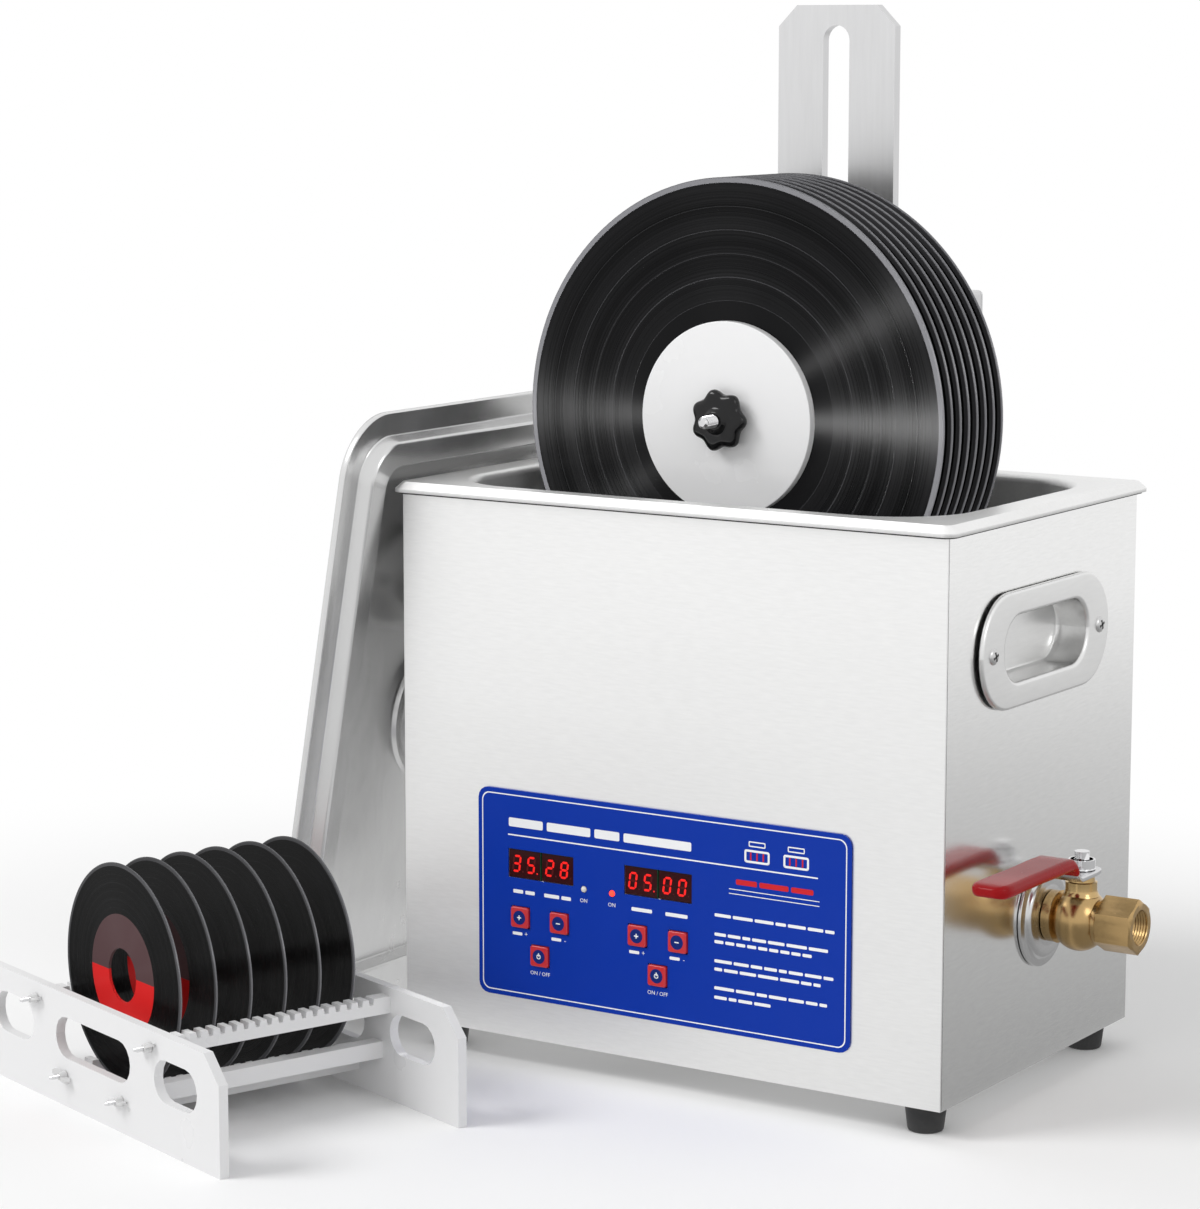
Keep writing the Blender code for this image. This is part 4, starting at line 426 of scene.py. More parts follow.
rubber = moulded("foot rubber", FOOT_BLACK, 0.62, grain_size=900.0, dust=0.5)
for name in ("foot_front_left", "foot_front_right", "foot_back_left", "foot_back_right"):
    low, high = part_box(name)
    middle = (low + high) / 2
    profile = [(0, FOOT_WELL_DEPTH), (FOOT_WELL_RADIUS, FOOT_WELL_DEPTH), (FOOT_WELL_RADIUS, 0),
               (FOOT_BOTTOM_RADIUS - FOOT_RIM, 0), (FOOT_BOTTOM_RADIUS - FOOT_RIM * 0.3, FOOT_RIM * 0.3),
               (FOOT_BOTTOM_RADIUS, FOOT_RIM), (FOOT_TOP_RADIUS, FOOT_HEIGHT - FOOT_RIM),
               (FOOT_TOP_RADIUS - FOOT_RIM * 0.3, FOOT_HEIGHT - FOOT_RIM * 0.3),
               (FOOT_TOP_RADIUS - FOOT_RIM, FOOT_HEIGHT), (0, FOOT_HEIGHT)]
    shape = spun(profile, 40, Matrix.Translation((middle.x, middle.y, 0)))
    finished(name + "_rubber", shape, rubber, "machine", name)

# Tank: one deep-drawn steel pressing. Its rim lies on the case's top above a black strip of painted
# shadow, with a bright sloped edge round a flat flange. The walls run down in wide corners to a drained
# floor.
RIM_HALF_WIDTH = 0.163
RIM_HALF_DEPTH = 0.1095
RIM_TOP = 0.300
RIM_SLOPE = 0.0036
RIM_LIP = 0.0018
RIM_CORNER = 0.006
OPENING_HALF_WIDTH = 0.141
OPENING_HALF_DEPTH = 0.0923
SHADOW_STRIP_GAP = 0.0014
SHADOW_STRIP_REACH = 0.0028
SHADOW_STRIP_SHOWN = 0.0009
TANK_CORNER = 0.040
TANK_EDGE = 0.004
TANK_DRAFT = 0.003
TANK_DEPTH = 0.150
TANK_CURVE = 0.016
DRAIN_X = 0.108
DRAIN_RADIUS = 0.0075
CORNER_STEPS = 10
CROSSING_RISK = 0.000002
PARTING = Vector((0, 0, 0.01))


def outline(shape, half_x, half_y, corner, place=Matrix(), steps=CORNER_STEPS):
    """A rounded rectangle of edges: a square whose corners are bevelled, then set in its place."""
    kept = set(shape.edges)
    square = bmesh.ops.create_grid(shape, x_segments=1, y_segments=1, size=1)["verts"]
    bmesh.ops.scale(shape, vec=(half_x, half_y, 1), verts=square)
    bmesh.ops.bevel(shape, geom=square, offset=corner, offset_type="OFFSET", segments=steps, profile=0.5,
                    affect="VERTICES", material=-1)
    loop = [e for e in shape.edges if e not in kept]
    points = list({v for e in loop for v in e.verts})
    bmesh.ops.delete(shape, geom=list({f for e in loop for f in e.link_faces}), context="FACES_ONLY")
    bmesh.ops.transform(shape, matrix=place, verts=points)
    return loop


def at_level(height):
    return Matrix.Translation((0, 0, height))


def quarter(steps):
    """How far a quarter round has still to go, across and along it, from its start to its end."""
    turns = [math.radians(90 * step / steps) for step in range(steps + 1)]
    return [(1 - math.cos(turn), 1 - math.sin(turn)) for turn in turns]


def circle(shape, radius, height, segments=48):
    """A round outline at that height: its points and its edges."""
    made = bmesh.ops.create_circle(shape, segments=segments, radius=radius, matrix=at_level(height))
    points = made["verts"]
    return points, list({e for v in points for e in v.link_edges})


def middle_of(loop):
    points = {v for e in loop for v in e.verts}
    return sum((v.co for v in points), Vector()) / len(points)


def joined(shape, loops):
    """Bridges each outline to the next. Two in one plane are parted for it, so that none is crossed."""
    for near, far in zip(loops, loops[1:]):
        level = (middle_of(near) - middle_of(far)).length < CROSSING_RISK
        points = list({v for e in far for v in e.verts}) if level else []
        bmesh.ops.translate(shape, vec=PARTING, verts=points)
        bmesh.ops.bridge_loops(shape, edges=near + far)
        bmesh.ops.translate(shape, vec=-PARTING, verts=points)


def closed_end(shape, loop):
    bmesh.ops.contextual_create(shape, geom=loop)


def capped(shape, loops):
    """Joins the outlines into a solid with both ends closed."""
    joined(shape, loops)
    closed_end(shape, loops[0])
    closed_end(shape, loops[-1])
    bmesh.ops.recalc_face_normals(shape, faces=shape.faces)


def tank_pressing():
    shape = bmesh.new()
    loops = []
    for inset, level in ((0, -RIM_SLOPE - RIM_LIP), (0, -RIM_SLOPE), (RIM_SLOPE, 0)):
        loops.append(outline(shape, RIM_HALF_WIDTH - inset, RIM_HALF_DEPTH - inset,
                             RIM_CORNER - inset * 0.6, at_level(RIM_TOP + level)))
    for near, far in quarter(4):
        inset = -TANK_EDGE * far
        loops.append(outline(shape, OPENING_HALF_WIDTH - inset, OPENING_HALF_DEPTH - inset,
                             TANK_CORNER - inset, at_level(RIM_TOP - TANK_EDGE * near)))
    for near, far in quarter(4):
        inset = TANK_DRAFT + TANK_CURVE * near
        loops.append(outline(shape, OPENING_HALF_WIDTH - inset, OPENING_HALF_DEPTH - inset,
                             TANK_CORNER - inset + TANK_DRAFT,
                             at_level(RIM_TOP - TANK_DEPTH + TANK_CURVE * far)))
    joined(shape, loops)
    drain = bmesh.ops.create_circle(shape, segments=32, radius=DRAIN_RADIUS,
                                    matrix=Matrix.Translation((DRAIN_X, 0, RIM_TOP - TANK_DEPTH)))["verts"]
    ring = list({e for v in drain for e in v.link_edges})
    bmesh.ops.triangle_fill(shape, edges=ring + loops[-1], use_beauty=True)
    bmesh.ops.recalc_face_normals(shape, faces=shape.faces)
    bmesh.ops.translate(shape, vec=MACHINE, verts=shape.verts)
    return shape


drawn_steel = metal("drawn steel", (0.90, 0.90, 0.895, 1), 0.42, fineness=500.0, change=0.05, bare=0.8)
finished("tank_pressing", tank_pressing(), drawn_steel, "machine", "tank", sheet=SHEET)
# Painted shadow: a thin black band round the case just under the rim's lip, where the rim's shadow falls.
shadow_strip = bmesh.new()
low, high = RIM_TOP - RIM_SLOPE - RIM_LIP - SHADOW_STRIP_SHOWN, RIM_TOP - RIM_SLOPE - SHEET
rings = [outline(shadow_strip, BODY_WIDTH / 2 + reach, BODY_DEPTH / 2 + reach, RIM_CORNER,
                 Matrix.Translation(MACHINE) @ at_level(level))
         for reach, level in ((SHADOW_STRIP_GAP, low), (SHADOW_STRIP_REACH, low), (SHADOW_STRIP_REACH, high), (SHADOW_STRIP_GAP, high))]
joined(shadow_strip, rings + rings[:1])
bmesh.ops.recalc_face_normals(shadow_strip, faces=shadow_strip.faces)
finished("rim_shadow_strip", shadow_strip, moulded("painted rim shadow", (0.03, 0.03, 0.03, 1), 0.6), "machine")

# Pull handles: a pressed steel plate with a rolled edge round a deep finger cup, held on each
# side of the case by two cross-head screws.
HANDLE_Y = -0.005
HANDLE_Z = 0.232
HANDLE_LENGTH = 0.140
HANDLE_HEIGHT = 0.058
HANDLE_PROUD = 0.0022
HANDLE_ROLL = 0.0016
HANDLE_SEAT = 0.0015
CUP_LENGTH = 0.092
CUP_HEIGHT = 0.033
CUP_DEPTH = 0.0145
CUP_ROLL = 0.002
CUP_SHEET = 0.0012
HANDLE_SCREW_Y = 0.0588
SCREW_RADIUS = 0.0042
SCREW_HEAD = 0.0016
CROSS_SHARE = 0.26
CROSS_DEPTH = 0.0002
ALONG_SIDE = Matrix(((0, 0, 1, 0), (1, 0, 0, 0), (0, 1, 0, 0), (0, 0, 0, 1)))


def handle_plate(side):
    shape = bmesh.new()
    front = HANDLE_SEAT + HANDLE_PROUD
    stations = [(HANDLE_LENGTH, HANDLE_HEIGHT, HANDLE_SEAT)]
    for near, far in quarter(3):
        inset = 2 * HANDLE_ROLL * near
        stations.append((HANDLE_LENGTH - inset, HANDLE_HEIGHT - inset, front - HANDLE_ROLL * far))
    for near, far in quarter(3):
        reach = 2 * CUP_ROLL * far
        stations.append((CUP_LENGTH + reach, CUP_HEIGHT + reach, front - CUP_ROLL * near))
    for near, far in quarter(3):
        reach = 2 * CUP_ROLL * near
        stations.append((CUP_LENGTH - reach, CUP_HEIGHT - reach, 2 * CUP_ROLL * far - CUP_DEPTH))
    loops = [outline(shape, length / 2, height / 2, height / 2 * 0.995, at_level(level))
             for length, height, level in stations]
    joined(shape, loops)
    closed_end(shape, loops[-1])
    bmesh.ops.transform(shape, matrix=ALONG_SIDE, verts=shape.verts)
    if side < 0:
        bmesh.ops.rotate(shape, matrix=Matrix.Rotation(math.pi, 3, "Z"), cent=(0, 0, 0), verts=shape.verts)
    bmesh.ops.translate(shape, verts=shape.verts,
                        vec=MACHINE + Vector((side * BODY_WIDTH / 2, HANDLE_Y, HANDLE_Z)))
    bmesh.ops.recalc_face_normals(shape, faces=shape.faces)
    return shape


def cross_screw(radius, head, place):
    """A cross-head screw's dome on a flat seat, facing +Z before it is placed. Its black cross is painted
    recess shade.
    """
    dome = [(0, head), (radius * 0.45, head * 0.94), (radius * 0.75, head * 0.72),
            (radius * 0.93, head * 0.4), (radius, 0), (0, 0)]
    shape = spun(dome, 28)
    for turn in (20, 110):
        slot = Matrix.Rotation(math.radians(turn), 4, "Z") @ at_level(head - CROSS_DEPTH * 0.4)
        cross = bmesh.ops.create_cube(shape, size=1, matrix=slot @ Matrix.Diagonal(
            (radius * 1.15, radius * CROSS_SHARE, CROSS_DEPTH, 1)))["verts"]
        # Painted shade: the cross's faces take the black second finish in place of the shaded recess.
        for face in {f for v in cross for f in v.link_faces}:
            face.material_index = 1
    bmesh.ops.transform(shape, matrix=place, verts=shape.verts)
    return shape


pressed_steel = metal("pressed steel", (0.80, 0.80, 0.795, 1), 0.30, run=(1, 0.15, 1), fineness=500.0)
# Screws are steel, with black for the cross: painted shade for the recess.
screw_steel = (metal("screw steel", (0.62, 0.62, 0.62, 1), 0.28, fineness=700.0, dust=0.3),
               moulded("painted recess shade", (0.02, 0.02, 0.02, 1), 0.5))
for side, name in ((1, "right_handle"), (-1, "left_handle")):
    finished(name + "_plate", handle_plate(side), pressed_steel, "machine", name, sheet=CUP_SHEET)
    face = side * (BODY_WIDTH / 2 + HANDLE_SEAT + HANDLE_PROUD)
    for end in (-1, 1):
        place = Matrix.Translation(MACHINE + Vector((face, HANDLE_Y + end * HANDLE_SCREW_Y, HANDLE_Z)))
        turn = ALONG_SIDE if side > 0 else Matrix.Rotation(math.pi, 4, "Z") @ ALONG_SIDE
        screw = cross_screw(SCREW_RADIUS, SCREW_HEAD, place @ turn)
        finished(f"{name}_screw_{end + 2}", screw, screw_steel, "machine")

# Control panel: a blue film on a thin plate, printed in white, with two smoked display windows,
# two lamps and windows for six keys. Behind it a green board carries the display modules.
PANEL_X = -0.001
PANEL_Z = 0.091
PANEL_WIDTH = 0.220
PANEL_HEIGHT = 0.109
PANEL_FACE = -0.1061
PRINT_RISE = 0.00006
FILM = 0.00005
PRINT_SHINE = 0.12
PANEL_BLUE = (0.0020, 0.0330, 0.345, 1)
PRINT_WHITE = (0.86, 0.87, 0.88, 1)
PRINT_RED = (0.60, 0.020, 0.028, 1)
FRAME_LINE = 0.0006
FRAME_INSET = 0.0024
FRAME_CORNER = 0.0045
WINDOW_LEFT_X = -0.0724
WINDOW_RIGHT_X = -0.0017
WINDOW_Z = 0.1072
WINDOW_LENGTH = 0.0395
WINDOW_HEIGHT = 0.0145
WINDOW_SPLIT = 0.0012
WINDOW_FACE = -0.10560
DIGIT_HEIGHT = 0.0090
DIGIT_WIDTH = 0.0050
DIGIT_STROKE = 0.00115
DIGIT_PITCH = 0.0088
DIGIT_LEAN = math.radians(7)
LAMP_Z = 0.0990
LAMP_RADIUS = 0.0016
FRONT = Matrix.Rotation(math.radians(90), 4, "X")
WAYS = {"a": (0, 1, 0), "b": (1, 0.5, 90), "c": (1, -0.5, 90), "d": (0, -1, 0), "e": (-1, -0.5, 90),
        "f": (-1, 0.5, 90), "g": (0, 0, 0)}
FIGURES = {"0": "abcdef", "1": "bc", "2": "abged", "3": "abgcd", "4": "fgbc", "5": "afgcd", "6": "afgcde",
           "7": "abc", "8": "abcdefg", "9": "abcdfg"}


def patch(shape, x0, x1, z0, z1, corner, place, steps=3):
    """One flat printed mark: a rounded rectangle on the front of the panel."""
    half_x, half_z = (x1 - x0) / 2, (z1 - z0) / 2
    middle = Matrix.Translation(((x0 + x1) / 2, (z0 + z1) / 2, 0))
    loop = outline(shape, half_x, half_z, min(corner, half_x * 0.98, half_z * 0.98), place @ middle, steps)
    closed_end(shape, loop)


def frame_line(shape, half_x, half_z, corner, width, place):
    near = outline(shape, half_x, half_z, corner, place, 8)
    far = outline(shape, half_x - width, half_z - width, corner - width * 0.6, place, 8)
    bmesh.ops.bridge_loops(shape, edges=near + far)


def lettering(shape, words, height, x, z, place):
    """Plain capitals or signs, centred on a point of the panel."""
    text = bpy.data.curves.new("words", "FONT")
    text.body = words
    text.size = height / 0.72
    text.align_x = "CENTER"
    text.align_y = "CENTER"
    text.resolution_u = 2
    holder = bpy.data.objects.new("words", text)
    flat = holder.to_mesh()
    flat.transform(place @ Matrix.Translation((x, z, 0)))
    shape.from_mesh(flat)
    holder.to_mesh_clear()
    bpy.data.objects.remove(holder)
    bpy.data.curves.remove(text)


def on_front(depth):
    """Frame of a plane that lies that deep on the machine's front, X to the right and Y upwards."""
    return Matrix.Translation(MACHINE + Vector((0, depth, 0))) @ FRONT


def printed(name, colour, roughness=0.42):
    """Screen-printed ink: a little uneven, with the film's fine texture showing through."""
    finish, tree, shader = new_finish(name)
    shader.inputs["Specular IOR Level"].default_value = PRINT_SHINE
    spot = node(tree, "TexCoord")
    film = node(tree, "TexNoise", {"Vector": spot.outputs["Object"], "Scale": 2200.0, "Detail": 2.0})
    cloud = node(tree, "TexNoise", {"Vector": spot.outputs["Object"], "Scale": 30.0, "Detail": 3.0})
    lighter = [min(1.0, part * 1.06) for part in colour[:3]] + [1]
    tone = node(tree, "Mix", {0: cloud, 6: colour, 7: lighter}, data_type="RGBA")
    lying = placed(tree, DUST, {"Vector": spot.outputs["Object"], "Colour": tone.outputs[2],
                   "Roughness": roughness, "Amount": 0.03})
    bump = node(tree, "Bump", {"Height": film, "Strength": 0.35, "Distance": 0.00001})
    surfaced(tree, shader, lying, bump)
    return finish


def glowing(name, colour, light):
    finish = printed(name, colour, 0.3)
    shader = finish.node_tree.nodes["Principled BSDF"]
    shader.inputs["Emission Color"].default_value = colour
    shader.inputs["Emission Strength"].default_value = light
    return finish


blue_film = printed("blue film", PANEL_BLUE, 0.36)
dressed("control_panel", blue_film, 0.00012)
board_green = moulded("board green", (0.02, 0.14, 0.06, 1), 0.5)
dressed("display_board", board_green, 0)

print_plane = on_front(PANEL_FACE - PRINT_RISE)
panel_plane = print_plane @ Matrix.Translation((PANEL_X, PANEL_Z, 0))
shape = bmesh.new()
frame_line(shape, PANEL_WIDTH / 2 - FRAME_INSET, PANEL_HEIGHT / 2 - FRAME_INSET, FRAME_CORNER, FRAME_LINE,
           panel_plane)
patch(shape, -0.0925, 0.0905, 0.1217, 0.1224, 0.0003, print_plane)
for x0, x1 in ((-0.092, -0.071), (-0.0685, -0.0420), (-0.0395, -0.0245), (-0.022, 0.018)):
    patch(shape, x0, x1, 0.1264, 0.1310, 0.0008, print_plane)
for x0, x1 in ((-0.0893, -0.0832), (-0.0818, -0.0760), (-0.0702, -0.0610), (-0.0596, -0.0538),
               (-0.0172, -0.0050), (0.0030, 0.0160)):
    patch(shape, x0, x1, 0.0918, 0.0937, 0.0005, print_plane)
for x in (-0.0460, -0.0290):
    lettering(shape, "ON", 0.0021, x, 0.0930, print_plane)
for x, words in ((-0.0848, "+"), (-0.0608, "-"), (-0.0135, "+"), (0.0105, "-")):
    patch(shape, x - 0.0050, x + 0.0010, 0.0697, 0.0713, 0.0005, print_plane)
    lettering(shape, words, 0.0026, x + 0.0034, 0.0705, print_plane)
for x in (-0.0728, -0.0015):
    lettering(shape, "ON / OFF", 0.0021, x, 0.0510, print_plane)
patch(shape, 0.0400, 0.0915, 0.1103, 0.1107, 0.0002, print_plane)
patch(shape, 0.0400, 0.0915, 0.1080, 0.1084, 0.0002, print_plane)
for x0, x1, z in ((0.0318, 0.1000, 0.0962), (0.0318, 0.1000, 0.0864), (0.0318, 0.0876, 0.0826),
                  (0.0318, 0.0996, 0.0728), (0.0318, 0.0925, 0.0686), (0.0318, 0.0962, 0.0590),
                  (0.0318, 0.0662, 0.0542)):
    x, turn = x0, round(z * 10000)
    while x < x1 - 0.003:
        turn = (turn * 7 + 5) % 11
        end = min(x + 0.0045 + turn * 0.0007, x1)
        patch(shape, x, end, z - 0.0008, z + 0.0008, 0.0005, print_plane)
        x = end + 0.0011
for x in (0.0560, 0.0782):
    frame_line(shape, 0.0072, 0.0033, 0.0012, 0.0011, print_plane @ Matrix.Translation((x, 0.1283, 0)))
    frame_line(shape, 0.0048, 0.0014, 0.0006, 0.0006, print_plane @ Matrix.Translation((x, 0.1345, 0)))
finished("panel_print_white", shape, printed("white ink", PRINT_WHITE), "machine", sheet=FILM)

shape = bmesh.new()
for x in (0.0560, 0.0782):
    for step in (-0.0036, 0, 0.0036):
        patch(shape, x + step - 0.0004, x + step + 0.0004, 0.1262, 0.1304, 0.0004, print_plane)
for x0, x1 in ((0.0440, 0.0560), (0.0575, 0.0740), (0.0755, 0.0880)):
    patch(shape, x0, x1, 0.1131, 0.1158, 0.0007, print_plane)
finished("panel_print_red", shape, printed("red ink", PRINT_RED), "machine", sheet=FILM)

# Display windows: smoked red filters over seven-bar digits, lit ones bright, the rest just seen.
window_plane = on_front(WINDOW_FACE)
window_film = printed("smoked filter", (0.030, 0.004, 0.005, 1), 0.12)
lit = glowing("lit bar", (0.62, 0.012, 0.010, 1), 0.9)
unlit = printed("unlit bar", (0.085, 0.008, 0.009, 1), 0.2)


def digit(lit_bars, dark_bars, figure, x, z, place):
    """One seven-bar figure."""
    spot = place @ Matrix.Translation((x, z, 0)) @ Matrix(((1, math.tan(DIGIT_LEAN), 0, 0), (0, 1, 0, 0),
                                                           (0, 0, 1, 0), (0, 0, 0, 1)))
    reach = (DIGIT_WIDTH - DIGIT_STROKE) / 2
    for name, (right, up, turn) in WAYS.items():
        shape = lit_bars if name in FIGURES[figure] else dark_bars
        length = reach if turn == 0 else DIGIT_HEIGHT / 4 - DIGIT_STROKE * 0.25
        middle = Matrix.Translation((right * reach, up * (DIGIT_HEIGHT - DIGIT_STROKE) / 2, 0))
        bar = spot @ middle @ Matrix.Rotation(math.radians(turn), 4, "Z")
        loop = outline(shape, length - 0.0002, DIGIT_STROKE / 2, DIGIT_STROKE * 0.49, bar, 1)
        closed_end(shape, loop)


windows, lit_bars, dark_bars = bmesh.new(), bmesh.new(), bmesh.new()
digit_plane = on_front(WINDOW_FACE - PRINT_RISE)
for middle, figures in ((WINDOW_LEFT_X, "3528"), (WINDOW_RIGHT_X, "0500")):
    half = WINDOW_LENGTH / 2
    for side in (-1, 1):
        inner, outer = side * WINDOW_SPLIT / 2, side * half
        patch(windows, middle + min(inner, outer), middle + max(inner, outer), WINDOW_Z - WINDOW_HEIGHT / 2,
              WINDOW_Z + WINDOW_HEIGHT / 2, 0.0004, window_plane)
    for place, figure in enumerate(figures):
        side, step = (-1, 1)[place // 2], (-0.5, 0.5)[place % 2]
        x = middle + side * (WINDOW_LENGTH + WINDOW_SPLIT) / 4 + step * DIGIT_PITCH
        digit(lit_bars, dark_bars, figure, x - 0.0004, WINDOW_Z, digit_plane)
        shape = lit_bars if place == 1 else dark_bars
        foot = WINDOW_Z - DIGIT_HEIGHT / 2
        patch(shape, x + 0.0029, x + 0.0038, foot, foot + 0.0009, 0.0004, digit_plane)
finished("display_windows", windows, window_film, "machine", sheet=FILM)
finished("display_bars_lit", lit_bars, lit, "machine", sheet=FILM)
finished("display_bars_dark", dark_bars, unlit, "machine", sheet=FILM)

# Indicator lamps: small moulded domes that stand in holes of the panel.
for name, x, finish in (("lamp_left", -0.0460, moulded("milky lamp", (0.75, 0.73, 0.66, 1), 0.2, dust=0.0)),
                        ("lamp_right", -0.0290, glowing("red lamp", (0.95, 0.05, 0.03, 1), 1.6))):
    dome = [(0, 0.0011), (LAMP_RADIUS * 0.5, 0.00095), (LAMP_RADIUS * 0.85, 0.0005), (LAMP_RADIUS, 0),
            (LAMP_RADIUS, -0.0006), (0, -0.0006)]
    shape = spun(dome, 24, on_front(PANEL_FACE) @ Matrix.Translation((x, LAMP_Z, 0)))
    finished(name, shape, finish, "machine")

# Keys: six moulded red caps that sink into the panel when pressed. Each has a dark blue spot
# in its middle with a white sign on it.
KEY_SIDE = 0.0108
KEY_PROUD = 0.0014
KEY_FLANGE = 0.0016
KEY_EDGE = 0.0006
KEY_CORNER = 0.0012
KEY_SPOT = 0.0037
KEY_SIGN = 0.0026
SIGN_STROKE = 0.0006
key_red = moulded("key red", (0.56, 0.012, 0.018, 1), 0.30, coat=0.3, dust=0.05)
key_blue = printed("key blue", (0.006, 0.020, 0.16, 1), 0.35)
key_white = printed("key sign", PRINT_WHITE)
for name in ("key_heat_up", "key_heat_down", "key_heat_power", "key_time_up", "key_time_down",
             "key_time_power"):
    low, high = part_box(name)
    middle = (low + high) / 2
    place = Matrix.Translation((middle.x, low.y, middle.z)) @ FRONT
    shape = bmesh.new()
    half = KEY_SIDE / 2
    loops = [outline(shape, half, half, KEY_CORNER, place @ at_level(-KEY_PROUD - KEY_FLANGE), 4)]
    for near, far in quarter(3):
        size = half - KEY_EDGE * near
        loops.append(outline(shape, size, size, KEY_CORNER, place @ at_level(-KEY_EDGE * far), 4))
    capped(shape, loops)
    finished(name + "_cap", shape, key_red, name, name)
    spot = bmesh.new()
    bmesh.ops.create_circle(spot, cap_ends=True, segments=32, radius=KEY_SPOT,
                            matrix=place @ at_level(0.00004))
    finished(name + "_spot", spot, key_blue, name, sheet=FILM)
    sign = bmesh.new()
    plane = place @ at_level(0.00008)
    if name.endswith("power"):
        frame_line(sign, KEY_SIGN / 2, KEY_SIGN / 2, KEY_SIGN / 2 * 0.99, SIGN_STROKE * 0.8, plane)
        patch(sign, -SIGN_STROKE / 2, SIGN_STROKE / 2, 0.0001, KEY_SIGN * 0.75, SIGN_STROKE / 2, plane)
    else:
        patch(sign, -KEY_SIGN / 2, KEY_SIGN / 2, -SIGN_STROKE / 2, SIGN_STROKE / 2, SIGN_STROKE / 2, plane)
        if name.endswith("up"):
            patch(sign, -SIGN_STROKE / 2, SIGN_STROKE / 2, -KEY_SIGN / 2, KEY_SIGN / 2, SIGN_STROKE / 2,
                  plane @ at_level(0.00001))
    finished(name + "_sign", sign, key_white, name, sheet=FILM)

# Drain: a brass elbow under the tank, a turned steel flange on the side sheet, and a brass ball
# valve with a hexagonal outlet. A nut holds the lever, zinc strap and red dipped grip in one.
SIDE_X = 0.1585
SEAM = 0.0003
VALVE_Z = 0.092
VALVE_X = 0.1641
VALVE_LENGTH = 0.049
COLLAR_RADIUS = 0.0130
BELLY_RADIUS = 0.0158
NECK_RADIUS = 0.0118
HEX_FLATS = 0.0250
HEX_LENGTH = 0.020
HEX_EDGE = 0.0010
OUTLET_RADIUS = 0.0086
OUTLET_DEPTH = 0.015
THREAD_PITCH = 0.0014
THREAD_DEPTH = 0.0006
BALL_X = 0.0165
BOSS_RADIUS = 0.0080
BOSS_TOP = 0.0225
STEM_RADIUS = 0.0038
NUT_FLATS = 0.0118
NUT_HEIGHT = 0.0050
WASHER_RADIUS = 0.0068
WASHER_HEIGHT = 0.0009
STRAP_THICKNESS = 0.0028
STRAP_WIDTH = 0.0170
LEVER_LENGTH = 0.104
LEVER_RISE = 0.010
BEND_START = 0.150
BEND_SHARE = 0.130
STRAP_END = 0.345
GRIP_WIDTH = 0.0210
GRIP_THICKNESS = 0.0068
BRASS_COLOUR = (0.50, 0.335, 0.150, 1)
ZINC_COLOUR = (0.66, 0.66, 0.67, 1)
GRIP_RED = (0.30, 0.0025, 0.005, 1)
ALONG_X = Matrix.Rotation(math.radians(90), 4, "Y")

brass = metal("cast brass", BRASS_COLOUR, 0.24, fineness=520.0, change=0.14, relief=0.00003, dust=0.1)
turned_brass = metal("turned brass", (0.56, 0.39, 0.18, 1), 0.18, run=(1, 1, 0.1), fineness=600.0)
turned_steel = metal("turned steel", (0.66, 0.66, 0.66, 1), 0.24, fineness=500.0)
chrome = metal("chrome plate", (0.82, 0.82, 0.83, 1), 0.08, fineness=300.0, change=0.03, relief=0.000002)
dressed("drain_elbow", brass, 0)

valve_place = Matrix.Translation(MACHINE + Vector((VALVE_X, 0, VALVE_Z))) @ ALONG_X
flange_place = Matrix.Translation(MACHINE + Vector((SIDE_X + SEAM, 0, VALVE_Z))) @ ALONG_X
profile = [(0.0108, 0), (0.0262, 0), (0.0265, 0.0003), (0.0265, 0.0013), (0.0262, 0.0017), (0.0250, 0.0019),
           (0.0240, 0.0021), (0.0230, 0.0022), (0.0224, 0.0026), (0.0220, 0.0036), (0.0214, 0.0043),
           (0.0204, 0.0048), (0.0190, 0.0050), (0.0160, 0.0048), (0.0150, 0.0048), (0.0140, 0.0050),
           (0.0111, 0.0050), (0.0108, 0.0047), (0.0108, 0)]
finished("valve_flange_turned", spun(profile, 72, flange_place), turned_steel, "machine", "valve_flange")


def six_sided(points, flats, blunt):
    """Pulls a circle through a hexagon's corners in to its six flats, and blunts the corners."""
    corner = flats / math.sqrt(3)
    for v in points:
        around = math.atan2(v.co.y, v.co.x) % (math.tau / 6) - math.tau / 12
        v.co.xy = v.co.xy * (min(flats / 2 / math.cos(around), corner * blunt) / corner)


